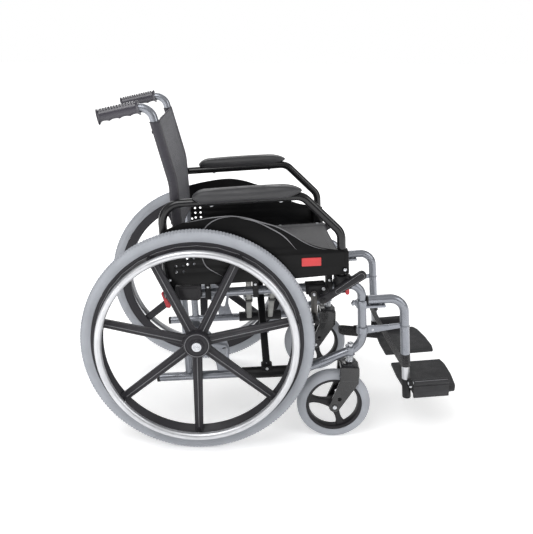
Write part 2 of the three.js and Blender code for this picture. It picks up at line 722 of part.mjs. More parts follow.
// Half of the calf strap: a ring round the foot tube and the band from it to the middle of the chair.
function calfStrap() {
  const ring = barZ(COLLAR_R, 0, FRAME_Y, [-STRAP_WIDTH, -GAP]);
  const band = block([-COLLAR_R, 2 - COLLAR_R], [0.5, FRAME_Y], [-STRAP_WIDTH, -GAP]);
  return cut(join(ring, band), barZ(bore(FOOT_TUBE_R), 0, FRAME_Y, [-STRAP_WIDTH - 5, 5]));
}

// A flat loop of webbing behind the left foot, from the foot tube's bracket back and round.
function heelLoop() {
  const [back, front] = HEEL_P;
  const [low, high] = HEEL_Q;
  const round = (radius) => link([back, HEEL_Y], [front, HEEL_Y], radius, radius, 8);
  const slab = (outline, depth) => {
    const shape = new THREE.Shape(outline.map(([p, y]) => new THREE.Vector2(p, y)));
    return new THREE.ExtrudeGeometry(shape, { depth, bevelEnabled: false });
  };
  const outer = place(slab(round(HEEL_R), high - low), 0, 0, low);
  return cut(outer, place(slab(round(HEEL_R - 2.5), high - low + 2), 0, 0, low - 1));
}

function hangerLatch() {
  const [u, v] = LATCH_PIVOT;
  const hook = [[u + 1, v + 4], [u - 4, v + 3], [u - 9, v - 5], [u - 7, v - 10], [u + 1, v - 6]];
  return plate(hook, [FRAME_Y - 6, FRAME_Y + 6]);
}

// ---------------------------------------------------------------- cross-brace
// One arm of the cross-brace at station u, rising from -Y to +Y. Its section is [along u, across].
function braceArm(u, [wide, deep]) {
  const bar = new THREE.BoxGeometry(wide, BRACE_LENGTH - 6, deep).rotateX(BRACE_ANGLE);
  return place(bar, u, 0, BRACE_MID_V);
}

// A brace: arms, the sleeve that turns on the lower rail at -Y, and the seat tube at +Y.
function brace(stations, size) {
  const arms = stations.map((u) => braceArm(u, size));
  const sleeve = barX(SLEEVE_R, SLEEVE_U, -FRAME_Y, LOWER_V);
  const seatTube = barX(SEAT_TUBE_R, SEAT_TUBE_U, FRAME_Y, SEAT_TUBE_V, 12);
  const railBore = barX(bore(TUBE_R), [SLEEVE_U[0] - 30, SLEEVE_U[1] + 30], -FRAME_Y, LOWER_V);
  const boltBore = barX(bore(CROSS_BOLT_R), [80, 260], 0, BRACE_MID_V);
  return cut(join(...arms, sleeve, seatTube), railBore, boltBore);
}

function crossBolt() {
  const ends = [ARM_B_U[0] - ARM_B_SIZE[0] / 2, ARM_B_U[1] + ARM_B_SIZE[0] / 2];
  const shank = barX(CROSS_BOLT_R, [ends[0] - 2, ends[1] + 2], 0, BRACE_MID_V);
  const head = barX(7, [ends[0] - 6, ends[0] - GAP], 0, BRACE_MID_V);
  const nut = barX(7, [ends[1] + GAP, ends[1] + 6], 0, BRACE_MID_V, 6);
  return join(shank, head, nut);
}

// ---------------------------------------------------------------- slings
function seatSling() {
  const top = SEAT_TUBE_V + SEAT_TUBE_R + GAP;
  return block(SEAT_U, [0.5 - FRAME_Y, FRAME_Y - 0.5], [top, top + SLING_THICK]);
}

function backSling() {
  const front = CANE_R + GAP;
  const line = bent([
    [REAR_POST_U, BACK_V[0]],
    [REAR_POST_U, CANE_BEND_V, 180],
    [REAR_POST_U - (BACK_V[1] - CANE_BEND_V) * Math.tan(CANE_LEAN), BACK_V[1]],
  ]);
  const nearSide = line.map((p) => [p.x + front, p.y]);
  const farSide = line.map((p) => [p.x + front + SLING_THICK, p.y]).reverse();
  return plate([...nearSide, ...farSide], [-FRAME_Y - front, FRAME_Y + front]);
}

// ---------------------------------------------------------------- assembly
// Groups nest: chair > raked frame > foot group, so each piece is built in the frame that it is simple in.
function rakedGroup(parent) {
  const group = new THREE.Group();
  group.position.set(0, 0, AXLE_Z);
  group.rotation.y = -RAKE;
  parent.add(group);
  return group;
}

function side(prefix, mirror) {
  const group = new THREE.Group();
  group.scale.y = mirror;
  const raked = rakedGroup(group);
  const foot = new THREE.Group();
  foot.position.set(HANGER_END[0], 0, HANGER_END[1]);
  foot.rotation.y = -FOOT_RAKE;
  raked.add(foot);

  const cane = backCane();
  node(prefix + "side_frame", join(sideFrame(), ...SADDLE_U.map(saddle)), GREY_METAL, raked);
  node(prefix + "back_cane", cane.solid, GREY_METAL, raked);
  node(prefix + "grip", grip(cane), GRIP_RUBBER, raked);
  node(prefix + "front_socket", frontSocket(), BLACK_PLASTIC, raked);
  node(prefix + "rear_housing", rearHousing(), BLACK_PLASTIC, raked);
  node(prefix + "front_release", frontRelease(), RED_PLASTIC, raked);
  node(prefix + "rear_release", rearRelease(), RED_PLASTIC, raked);
  node(prefix + "brake_bracket", brakeBracket(), BLACK_METAL, raked);
  node(prefix + "brake_lever", brakeLever(), BLACK_PLASTIC, raked);
  node(prefix + "brake_arm", brakeArm(), BLACK_METAL, raked);
  node(prefix + "armrest_tube", armrestTube(), BLACK_METAL, raked);
  node(prefix + "armrest_pad", armrestPad(), PAD_FOAM, raked);
  node(prefix + "skirt_guard", plate(SKIRT, SKIRT_Y), BLACK_PLASTIC, raked);
  node(prefix + "wheel", mainWheel().translate([0, 0, AXLE_Z]), WHEEL_PLASTIC, group);
  node(prefix + "tyre", mainTyre().translate([0, 0, AXLE_Z]), TYRE_GREY, group);
  node(prefix + "hand_rim", handRim().translate([0, 0, AXLE_Z]), ALUMINIUM, group);
  node(prefix + "axle", axle().translate([0, 0, AXLE_Z]), ZINC, group);
  node(prefix + "caster_fork", casterFork(), BLACK_METAL, group);
  node(prefix + "caster_stem", casterStem(), ZINC, group);
  node(prefix + "caster_rim", casterRim(), BLACK_PLASTIC, group);
  node(prefix + "caster_tyre", casterTyre(), TYRE_GREY, group);
  node(prefix + "caster_axle", casterAxle(), ZINC, group);
  node(prefix + "hanger", hanger(), GREY_METAL, raked);
  node(prefix + "hanger_latch", hangerLatch(), GREY_METAL, raked);
  node(prefix + "foot_tube", footTube(), ALUMINIUM, foot);
  node(prefix + "footplate", footplate(), BLACK_PLASTIC, foot);
  node(prefix + "calf_strap", calfStrap(), WEBBING, foot);
  if (mirror > 0) node(prefix + "heel_loop", heelLoop(), WEBBING, foot);
  return group;
}

const chair = new THREE.Group();
chair.position.x = SHIFT_X;
chair.add(side("left_", 1));
chair.add(side("right_", -1));

const middle = rakedGroup(chair);
node("brace_a", brace([ARM_A_U], ARM_A_SIZE), BLACK_METAL, middle);
node("brace_b", brace(ARM_B_U, ARM_B_SIZE).mirror([0, 1, 0]), GREY_METAL, middle);
node("cross_bolt", crossBolt(), ZINC, middle);
node("seat_sling", seatSling(), SLING_FABRIC, middle);
node("backrest_sling", backSling(), SLING_FABRIC, middle);

export default chair;
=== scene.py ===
"""A manual folding wheelchair: its looks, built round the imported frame.

Shapes are drawn in millimetres in the frame where each is simple, and placed in metres.
CHAIR is upright, with x from the main axle and z from the ground.
RAKED is the side frame's own: u forward and v up from the main axle.
FOOT is the footrest's: p forward and q up from the end of its hanger.
WHEEL and CASTER are upright, round the main axle and the caster's axle.
The left side is built at +y and mirrored for the right.
"""
import json
import math

import bmesh
import bpy
from mathutils import Matrix, Vector, noise


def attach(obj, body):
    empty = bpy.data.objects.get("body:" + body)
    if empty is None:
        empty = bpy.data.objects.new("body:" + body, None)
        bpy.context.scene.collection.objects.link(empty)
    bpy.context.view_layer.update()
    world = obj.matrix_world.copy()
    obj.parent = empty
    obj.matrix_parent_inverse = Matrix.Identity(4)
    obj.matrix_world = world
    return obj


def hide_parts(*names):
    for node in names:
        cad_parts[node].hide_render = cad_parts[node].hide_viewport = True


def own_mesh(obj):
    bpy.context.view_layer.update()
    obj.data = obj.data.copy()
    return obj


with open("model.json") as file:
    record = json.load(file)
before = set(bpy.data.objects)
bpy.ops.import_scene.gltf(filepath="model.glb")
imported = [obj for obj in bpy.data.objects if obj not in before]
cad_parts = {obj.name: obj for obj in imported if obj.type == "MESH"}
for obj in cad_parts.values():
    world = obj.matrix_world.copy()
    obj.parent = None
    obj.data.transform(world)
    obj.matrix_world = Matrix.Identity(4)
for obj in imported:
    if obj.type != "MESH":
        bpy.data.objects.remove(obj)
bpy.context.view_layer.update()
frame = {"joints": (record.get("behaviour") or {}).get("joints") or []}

# ---------------------------------------------------------------- places taken from the frame, in millimetres
JOINTS = {joint["name"]: joint for joint in frame["joints"]}


def joint_point(name):
    return [1000 * value for value in JOINTS[name]["pos_m"]]


AXLE_X, WHEEL_Y, AXLE_Z = joint_point("left_wheel_spin")
CASTER_X, FRAME_Y, CASTER_Z = joint_point("left_caster_roll")
CASTER_X -= AXLE_X
STEM_X = joint_point("left_caster_swivel")[0] - AXLE_X
FOLD_AXIS = JOINTS["fold"]["axis"]
RAKE = math.atan2(FOLD_AXIS[2], FOLD_AXIS[0])

# ---------------------------------------------------------------- driving dimensions, as in the CAD model
WHEEL_R = 305
TYRE_HALF = 17
RIM_R = (262, 275.7)
RIM_SHELF_R = 247
HUB_R = 35
SPOKES = 7
FIRST_SPOKE = math.radians(-88.5)
HAND_RIM_R = 253
HAND_RIM_TUBE = 9.5
HAND_RIM_Y = 295
TUBE_R = 11.5
CLAMP_GAP = 0.1
CANE_R = 11
UPPER_V = 108.5
LOWER_V = -131
REAR_POST_U = -32
FRONT_POST_U = 439.5
RAIL_END_U = -120
DIAGONAL_START_U = 272
DIAGONAL_END_V = LOWER_V + (FRONT_POST_U - DIAGONAL_START_U) * math.tan(math.radians(21))
CANE_BEND_V = 413
CANE_BEND_R = 180
CANE_LEAN = math.radians(12.1)
CANE_TOP_V = 611
CANE_TOP_U = REAR_POST_U - (CANE_TOP_V - CANE_BEND_V) * math.tan(CANE_LEAN)
GRIP_FALL = math.radians(8.6)
CANE_TAIL = 126.5
ARM_Y = 221
ARM_R = 11
ARM_REAR_U = -66
ARM_PIVOT_V = 125
ARM_TOP_V = 364
ARM_FRONT_U = 384.3
PAD_U = (14, 291)
PAD_V = (362, 399)
PAD_Y = (204.5, 256.5)
SKIRT_Y = (232.3, 237.3)
HANGER_R = 12
HANGER_TOP_V = 63.5
HANGER_BEND_U = 549.7
HANGER_END = (553.4, -97)
FOOT_RAKE = math.radians(1.8)
FOOT_TUBE_R = 10.4
SEAT_TUBE_V = 160
SEAT_TUBE_R = 11
BRACE_MID_V = (SEAT_TUBE_V + LOWER_V) / 2
BRACE_ANGLE = math.atan2(SEAT_TUBE_V - LOWER_V, 2 * FRAME_Y)
SADDLES_U = (36, 161, 354)
STEM_SLEEVE_Z = (246, 270)

CHAIR = Matrix.Scale(0.001, 4) @ Matrix.Translation((AXLE_X, 0, 0))
RAKED = CHAIR @ Matrix.Translation((0, 0, AXLE_Z)) @ Matrix.Rotation(-RAKE, 4, "Y")
FOOT = RAKED @ Matrix.Translation((HANGER_END[0], 0, HANGER_END[1])) @ Matrix.Rotation(-FOOT_RAKE, 4, "Y")
WHEEL = CHAIR @ Matrix.Translation((0, 0, AXLE_Z))
CASTER = CHAIR @ Matrix.Translation((CASTER_X, 0, CASTER_Z))


def to_raked(x, z):
    """An upright (x, z), z from the ground, as raked (u, v)."""
    z -= AXLE_Z
    return x * math.cos(RAKE) + z * math.sin(RAKE), z * math.cos(RAKE) - x * math.sin(RAKE)


# ---------------------------------------------------------------- shapes: (list of points, list of faces)
def joined(*shapes):
    points, faces = [], []
    for some_points, some_faces in shapes:
        faces += [tuple(i + len(points) for i in face) for face in some_faces]
        points += some_points
    return points, faces


def moved(shape, matrix):
    return [matrix @ Vector(point) for point in shape[0]], shape[1]


def shifted(shape, x=0, y=0, z=0):
    return moved(shape, Matrix.Translation((x, y, z)))


def turned(shape, degrees, axis):
    return moved(shape, Matrix.Rotation(math.radians(degrees), 4, axis))


def across(shape):
    """A plate drawn in XZ, laid in YZ instead."""
    return [Vector((y, x, z)) for x, y, z in shape[0]], shape[1]


def flat(shape):
    """A plate drawn in XZ, laid in XY instead."""
    return [Vector((x, z, y)) for x, y, z in shape[0]], shape[1]


def skin(rings, loop=False, caps=True):
    """Faces between rings of equally many points."""
    count = len(rings[0])
    points = [Vector(point) for ring in rings for point in ring]
    faces = []
    for i in range(len(rings) if loop else len(rings) - 1):
        here, there = i * count, (i + 1) % len(rings) * count
        for j in range(count):
            k = (j + 1) % count
            faces.append((here + j, here + k, there + k, there + j))
    if caps and not loop:
        faces.append(tuple(range(count)))
        faces.append(tuple(range(len(points) - count, len(points))))
    return points, faces


def circle(radius, sides=24):
    turns = [2 * math.pi * i / sides for i in range(sides)]
    return [(radius * math.cos(t), radius * math.sin(t)) for t in turns]


def rounded_rectangle(width, height, radius):
    steps = 4
    outline = []
    for corner in range(4):
        x = (width / 2 - radius) * (1 if corner in (0, 3) else -1)
        z = (height / 2 - radius) * (1 if corner < 2 else -1)
        for step in range(steps + 1):
            angle = math.pi / 2 * (corner + step / steps)
            outline.append((x + radius * math.cos(angle), z + radius * math.sin(angle)))
    return outline


def filleted(corners, closed=False, step=7):
    """Corners (a, b) or (a, b, radius) as a line of points whose bends are arcs."""
    spots = [Vector(corner[:2]) for corner in corners]
    line = [] if closed else [spots[0]]
    for i in range(0 if closed else 1, len(spots) if closed else len(spots) - 1):
        radius = corners[i][2] if len(corners[i]) > 2 else 0
        arrive = (spots[i] - spots[i - 1]).normalized()
        leave = (spots[(i + 1) % len(spots)] - spots[i]).normalized()
        turn = math.atan2(arrive.x * leave.y - arrive.y * leave.x, arrive.dot(leave))
        if radius == 0 or abs(turn) < 1e-3:
            line.append(spots[i])
            continue
        start = spots[i] - arrive * radius * math.tan(abs(turn) / 2)
        centre = start + Vector((-arrive.y, arrive.x)) * math.copysign(radius, turn)
        steps = max(2, math.ceil(math.degrees(abs(turn)) / step))
        for k in range(steps + 1):
            line.append(centre + Matrix.Rotation(turn * k / steps, 2) @ (start - centre))
    if not closed:
        line.append(spots[-1])
    return line


def in_plane(line, y):
    return [Vector((a, y, b)) for a, b in line]


def sweep(path, section, loop=False, caps=True):
    """Carries a section along a path: points of (sideways, upwards), or a function of the path's share."""
    path = [Vector(point) for point in path]
    side = Vector((0, 1, 0))
    rings = []
    last = len(path) - 1
    for i, point in enumerate(path):
        before = path[i - 1] if i or loop else point
        after = path[(i + 1) % len(path)] if i < last or loop else point
        ahead = (after - before).normalized()
        side = (side - side.project(ahead)).normalized()
        up = ahead.cross(side)
        outline = section(i / last) if callable(section) else section
        rings.append([point + side * a + up * b for a, b in outline])
    return skin(rings, loop, caps)


def revolve(profile, steps=64):
    """A closed profile of (radius, y) points turned round the Y axis."""
    rings = []
    for i in range(steps):
        angle = 2 * math.pi * i / steps
        rings.append([Vector((r * math.cos(angle), y, r * math.sin(angle))) for r, y in profile])
    return skin(rings, loop=True)


def rod(start, end, radius, edge=0.6, sides=32, bore=0):
    """A round bar or sleeve between two points, its end edges rounded."""
    start, end = Vector(start), Vector(end)
    length = (end - start).length
    lip = [(edge, 0), (edge * 0.3, edge * 0.3), (0, edge)]
    profile = [(bore, 0)]
    profile += [(radius - inset, rise) for inset, rise in lip]
    profile += [(radius - inset, length - rise) for inset, rise in reversed(lip)]
    profile.append((bore, length))
    turn = Vector((0, 1, 0)).rotation_difference(end - start).to_matrix().to_4x4()
    return moved(revolve(profile, sides), Matrix.Translation(start) @ turn)


def dome(start, direction, radius, height):
    """A domed screw head standing on a point."""
    start, direction = Vector(start), Vector(direction).normalized()
    profile = [(0, 0), (radius, 0), (radius, height * 0.35)]
    profile += [(radius * math.cos(t), height * (0.35 + 0.65 * math.sin(t))) for t in (0.4, 0.8, 1.2)]
    profile.append((0, height))
    turn = Vector((0, 1, 0)).rotation_difference(direction).to_matrix().to_4x4()
    return moved(revolve(profile, 24), Matrix.Translation(start) @ turn)


def plate(outline, y0, y1, edge=1.0, holes=()):
    """A plate in the XZ plane with rounded edges, from closed lines of (x, z), between two Y planes."""
    curve = bpy.data.curves.new("plate", "CURVE")
    curve.dimensions = "2D"
    curve.fill_mode = "BOTH"
    curve.extrude = (y1 - y0) / 2 - edge
    curve.bevel_depth = edge
    curve.bevel_resolution = 1
    curve.offset = -edge
    for line in (outline, *holes):
        spline = curve.splines.new("POLY")
        spline.points.add(len(line) - 1)
        spline.use_cyclic_u = True
        for point, (x, z) in zip(spline.points, line):
            point.co = (x, z, 0, 1)
    holder = bpy.data.objects.new("plate", curve)
    bpy.context.scene.collection.objects.link(holder)
    bpy.context.view_layer.update()
    mesh = holder.evaluated_get(bpy.context.evaluated_depsgraph_get()).to_mesh()
    middle = (y0 + y1) / 2
    points = [Vector((v.co.x, middle + v.co.z, v.co.y)) for v in mesh.vertices]
    faces = [tuple(face.vertices) for face in mesh.polygons]
    bpy.data.objects.remove(holder)
    bpy.data.curves.remove(curve)
    return points, faces


def slab(corners, y0, y1, edge=1.0, holes=()):
    """A plate whose outline is given by its corners: (x, z), or (x, z, radius) for a round one."""
    return plate(filleted(corners, closed=True), y0, y1, edge, holes)


def hole(x, z, radius, sides=20):
    return [(x + a, z + b) for a, b in circle(radius, sides)]


def link(start, end, start_r, end_r, sides=12):
    """The outline of a bar with round ends."""
    heading = math.atan2(end[1] - start[1], end[0] - start[0])
    outline = []
    quarter = math.pi / 2
    for centre, radius, first in ((start, start_r, heading + quarter), (end, end_r, heading - quarter)):
        for i in range(sides + 1):
            angle = first + math.pi * i / sides
            outline.append((centre[0] + radius * math.cos(angle), centre[1] + radius * math.sin(angle)))
    return outline


def box(x, y, z, edge=1.5):
    """A block with rounded edges, from (lowest, highest) on each axis."""
    outline = [(x[0], z[0], edge), (x[1], z[0], edge), (x[1], z[1], edge), (x[0], z[1], edge)]
    return plate(filleted(outline, closed=True, step=30), y[0], y[1], min(edge, 1.2))


# ---------------------------------------------------------------- materials
class Nodes:
    """A material's node tree, built a node at a time."""

    def __init__(self, name):
        self.material = bpy.data.materials.new(name)
        self.material.use_nodes = True
        self.tree = self.material.node_tree
        self.shader = self.tree.nodes["Principled BSDF"]
        self.place = self.add("ShaderNodeTexCoord").outputs["Object"]

    def add(self, kind, inputs=(), **settings):
        node = self.tree.nodes.new(kind)
        for key, value in settings.items():
            setattr(node, key, value)
        for key, value in dict(inputs).items():
            if isinstance(value, bpy.types.NodeSocket):
                self.tree.links.new(value, node.inputs[key])
            else:
                node.inputs[key].default_value = value
        return node

    def join(self, value, name):
        self.tree.links.new(value, self.shader.inputs[name])

    def noise(self, scale, detail=3.0, vector=None):
        inputs = {"Vector": vector or self.place, "Scale": scale, "Detail": detail}
        return self.add("ShaderNodeTexNoise", inputs).outputs["Fac"]

    def math(self, kind, a, b=0.0):
        return self.add("ShaderNodeMath", {0: a, 1: b}, operation=kind).outputs[0]

    def ramp(self, value, low, high, start=0.0, end=1.0):
        inputs = {"Value": value, "From Min": low, "From Max": high, "To Min": start, "To Max": end}
        return self.add("ShaderNodeMapRange", inputs).outputs["Result"]

    def mix(self, share, a, b):
        inputs = {"Factor": share, "A": a, "B": b}
        node = self.tree.nodes.new("ShaderNodeMix")
        node.data_type = "RGBA"
        for key, value in inputs.items():
            kind = "VALUE" if key == "Factor" else "RGBA"
            socket = next(s for s in node.inputs if s.name == key and s.type == kind)
            if isinstance(value, bpy.types.NodeSocket):
                self.tree.links.new(value, socket)
            else:
                socket.default_value = value
        return next(s for s in node.outputs if s.type == "RGBA")

    def bump(self, height, distance, strength=1.0, normal=None):
        inputs = {"Height": height, "Distance": distance, "Strength": strength}
        if normal:
            inputs["Normal"] = normal
        return self.add("ShaderNodeBump", inputs).outputs["Normal"]


def linear(srgb, gain=1.0):
    """Display colour of 0 to 255 as a linear colour."""
    shares = [c / 255 for c in srgb]
    return [gain * (((c + 0.055) / 1.055) ** 2.4 if c > 0.04 else c / 12.92) for c in shares] + [1.0]


def surface(name, srgb, roughness, metallic=0.0, grain=(420, 0.05), mottle=0.12, wear=0.3, coat=0.0,
            flakes=False, specular=0.5):
    """A moulded, painted or plated finish: fine grain, colour that varies, worn edges and uneven gloss."""
    nodes = Nodes(name)
    nodes.shader.inputs["Metallic"].default_value = metallic
    nodes.shader.inputs["Coat Weight"].default_value = coat
    nodes.shader.inputs["Coat Roughness"].default_value = 0.12
    nodes.shader.inputs["Specular IOR Level"].default_value = specular
    cloud = nodes.noise(14, 4)
    colour = nodes.mix(nodes.ramp(cloud, 0.35, 0.65), linear(srgb, 1 - mottle), linear(srgb, 1 + mottle))
    if flakes:
        cells = nodes.add("ShaderNodeTexVoronoi", {"Vector": nodes.place, "Scale": 2600.0})
        sparkle = nodes.ramp(cells.outputs["Distance"], 0.1, 0.6, 0.18, 0.0)
        colour = nodes.mix(sparkle, colour, linear((225, 228, 236)))
    edges = nodes.add("ShaderNodeNewGeometry").outputs["Pointiness"]
    scuffs = nodes.math("MULTIPLY", nodes.ramp(edges, 0.54, 0.62), nodes.ramp(nodes.noise(90), 0.4, 0.6))
    worn = linear([min(255, c * 1.35 + 22) for c in srgb])
    colour = nodes.mix(nodes.math("MULTIPLY", scuffs, wear), colour, worn)
    nodes.join(colour, "Base Color")
    smears = nodes.ramp(nodes.noise(38, 5), 0.3, 0.7, roughness * 0.82, min(1.0, roughness * 1.2))
    nodes.join(smears, "Roughness")
    scale, depth = grain
    nodes.join(nodes.bump(nodes.noise(scale, 2), 0.001, depth), "Normal")
    return nodes.material


def brushed(name, srgb, roughness):
    """Plated or anodised metal with fine drawn lines."""
    nodes = Nodes(name)
    nodes.shader.inputs["Metallic"].default_value = 1.0
    lines = nodes.add("ShaderNodeMapping", {"Vector": nodes.place, "Scale": (60.0, 2400.0, 60.0)}).outputs[0]
    fine = nodes.noise(1.0, 4, lines)
    cloud = nodes.noise(22, 4)
    colour = nodes.mix(nodes.ramp(cloud, 0.3, 0.7), linear(srgb, 0.9), linear(srgb, 1.06))
    nodes.join(nodes.mix(nodes.ramp(fine, 0.3, 0.7, 0.0, 0.3), colour, linear(srgb, 0.75)), "Base Color")
    nodes.join(nodes.ramp(fine, 0.2, 0.8, roughness * 0.7, roughness * 1.35), "Roughness")
    nodes.join(nodes.bump(fine, 0.0004, 0.25), "Normal")
    return nodes.material


def woven(name, srgb, pitch, coated=0.0, depth=0.8):
    """Plain-woven cloth: threads of the given pitch in metres, crossing over and under."""
    nodes = Nodes(name)
    nodes.shader.inputs["Sheen Weight"].default_value = 0.25
    nodes.shader.inputs["Sheen Roughness"].default_value = 0.4
    nodes.shader.inputs["Coat Weight"].default_value = coated
    nodes.shader.inputs["Coat Roughness"].default_value = 0.5
    cloth = nodes.add("ShaderNodeUVMap", uv_map="cloth").outputs[0]
    along = nodes.add("ShaderNodeMapping", {"Vector": cloth, "Scale": (1 / pitch,) * 3}).outputs[0]
    axes = nodes.add("ShaderNodeSeparateXYZ", {0: along}).outputs
    over = nodes.add("ShaderNodeTexChecker", {"Vector": along, "Scale": 1.0}).outputs["Fac"]
    height = nodes.add("ShaderNodeMix", {"Factor": over}, data_type="FLOAT")
    for axis, socket in ((0, 2), (1, 3)):
        wave = nodes.math("SINE", nodes.math("MULTIPLY", axes[axis], math.pi))
        nodes.tree.links.new(nodes.math("ABSOLUTE", wave), height.inputs[socket])
    thread = height.outputs[0]
    cloud = nodes.ramp(nodes.noise(9, 5), 0.3, 0.7)
    colour = nodes.mix(cloud, linear(srgb, 0.88), linear(srgb, 1.1))
    # Painted shade: the cloth darkens where the thread height is low, between the threads.
    colour = nodes.mix(nodes.ramp(thread, 0.0, 0.9, 0.55, 0.0), colour, linear(srgb, 0.35))
    drawn = nodes.add("ShaderNodeMapping", {"Vector": along, "Scale": (0.08, 1.0, 1.0)}).outputs[0]
    slub = nodes.ramp(nodes.noise(1.0, 2, drawn), 0.45, 0.75, 0.0, 0.35)
    nodes.join(nodes.mix(slub, colour, linear(srgb, 1.5)), "Base Color")
    nodes.join(nodes.ramp(thread, 0.0, 1.0, 0.95, 0.72), "Roughness")
    crease = nodes.bump(nodes.noise(30, 4), 0.002, 0.15)
    nodes.join(nodes.bump(thread, pitch * 0.5, depth, crease), "Normal")
    return nodes.material


GREY_LACQUER = surface("grey_lacquer", (128, 131, 138), 0.3, 0.72, mottle=0.05, wear=0.25, coat=0.4,
                       flakes=True)
BLACK_LACQUER = surface("black_lacquer", (13, 13, 15), 0.24, mottle=0.1, wear=0.15, coat=0.35, specular=0.3)
BLACK_STEEL = surface("black_steel", (20, 20, 22), 0.4, grain=(900, 0.08), wear=0.4, specular=0.3)
FORK_BLACK = surface("fork_black", (22, 22, 24), 0.24, grain=(900, 0.05), wear=0.4, coat=0.45)
ZINC = brushed("zinc_plate", (206, 208, 212), 0.28)
ALUMINIUM = brushed("anodised_aluminium", (212, 213, 216), 0.4)
FLAT_STEEL = surface("flat_steel", (134, 134, 130), 0.42, 0.5, grain=(900, 0.08), wear=0.3)
# Painted reflection: the brake link's black steel is made lighter, for the light it reflects.
REFLECTION_LIT_STEEL = surface("reflection_lit_steel", (84, 82, 80), 0.45, 0.3, grain=(900, 0.08), wear=0.4)
PLASTIC = surface("moulded_plastic", (18, 18, 20), 0.5, grain=(1500, 0.14), wear=0.35, specular=0.3)
SATIN_PLASTIC = surface("satin_plastic", (31, 30, 33), 0.42, grain=(1100, 0.1), wear=0.35, specular=0.3)
GUARD_PLASTIC = surface("guard_plastic", (8, 8, 9), 0.38, grain=(1800, 0.12), wear=0.3, specular=0.18)
# Painted highlight: a light grey laid on thin ridges, rims and crests, for the light they catch.
PAINTED_HIGHLIGHT_GREY = surface("painted_highlight_grey", (118, 118, 121), 0.5, grain=(1500, 0.1), wear=0.0)
WHEEL_NYLON = surface("wheel_nylon", (41, 40, 44), 0.45, grain=(1300, 0.12), mottle=0.08, wear=0.4,
                      specular=0.3)
TYRE_RUBBER = surface("tyre_rubber", (160, 163, 169), 0.8, grain=(700, 0.25), mottle=0.07, wear=0.0,
                      specular=0.3)
GRIP_RUBBER = surface("grip_rubber", (56, 54, 61), 0.3, grain=(900, 0.1), wear=0.25, coat=0.2)
PAD_FOAM = surface("pad_foam", (50, 50, 52), 0.48, grain=(520, 0.25), mottle=0.08, wear=0.15)
PLATE_PLASTIC = surface("footplate_plastic", (44, 44, 46), 0.55, grain=(950, 0.6), wear=0.35, specular=0.35)
RED_PLASTIC = surface("red_plastic", (190, 44, 54), 0.35, grain=(900, 0.08), wear=0.3)
LABEL_RED = surface("label_red", (204, 58, 60), 0.4, wear=0.0)
BACK_CLOTH = woven("back_cloth", (94, 94, 100), 0.0011)
HEM_CLOTH = woven("hem_cloth", (60, 58, 65), 0.0011)
SEAT_CLOTH = woven("seat_cloth", (76, 76, 78), 0.0011, coated=0.1)
WEBBING = woven("webbing", (30, 29, 32), 0.0022, depth=1.0)
THREAD = surface("sewing_thread", (62, 61, 66), 0.8, grain=(2500, 0.5), wear=0.0)


# ---------------------------------------------------------------- pieces
SHARP = 38  # degrees between two faces, past which their edge is drawn sharp
MERGE = 1e-5


def piece(name, shape, matrix, material, body, replaces=(), sharp=SHARP, mirror=1):
    """A mesh piece of the object, riding on its CAD body."""
    points, faces = moved(shape, Matrix.Scale(mirror, 4, (0, 1, 0)) if mirror < 0 else Matrix())
    mesh = bpy.data.meshes.new(name)
    mesh.from_pydata([matrix @ point for point in points], [], faces)
    work = bmesh.new()
    work.from_mesh(mesh)
    bmesh.ops.remove_doubles(work, verts=work.verts, dist=MERGE)
    bmesh.ops.dissolve_degenerate(work, edges=work.edges, dist=MERGE)
    bmesh.ops.recalc_face_normals(work, faces=work.faces)
    work.to_mesh(mesh)
    work.free()
    mesh.shade_smooth()
    mesh.set_sharp_from_angle(angle=math.radians(sharp))
    made = bpy.data.objects.new(name, mesh)
    bpy.context.scene.collection.objects.link(made)
    mesh.materials.append(material)
    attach(made, body)
    for node in replaces:
        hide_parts(node)
    return made


def maker(side):
    """Adds pieces to one side: names, bodies and nodes get its prefix, and the right side is mirrored."""
    def add(name, shape, place, material, body, slot, *replaced, sharp=SHARP):
        nodes = [f"{side}_{node}" for node in replaced]
        body = f"{side}_{body}"
        return piece(f"{side}_{name}", shape, place, material, body, nodes, sharp, add.mirror)
    add.side = side
    add.mirror = 1 if side == "left" else -1
    return add


def ring(centre, direction, radius, thick):
    """A weld bead or lip round an axis."""
    turn = Vector((0, 1, 0)).rotation_difference(Vector(direction)).to_matrix().to_4x4()
    profile = [(radius + a, b) for a, b in circle(thick, 8)]
    return moved(revolve(profile, 32), Matrix.Translation(centre) @ turn)


def upright(z):
    """A point on the caster stem's line, in the raked frame."""
    u, v = to_raked(STEM_X, z)
    return u, FRAME_Y, v


# ---------------------------------------------------------------- side frame
GUSSET = [(-34, 34, 4), (4, 30, 14), (44, -18, 30), (76, -32, 8), (82, -56, 20), (79, -84, 20), (90, -124),
          (46, -124), (42, -94, 14), (10, -54, 20), (-34, -50, 4)]
SADDLE_HALF = 7.5


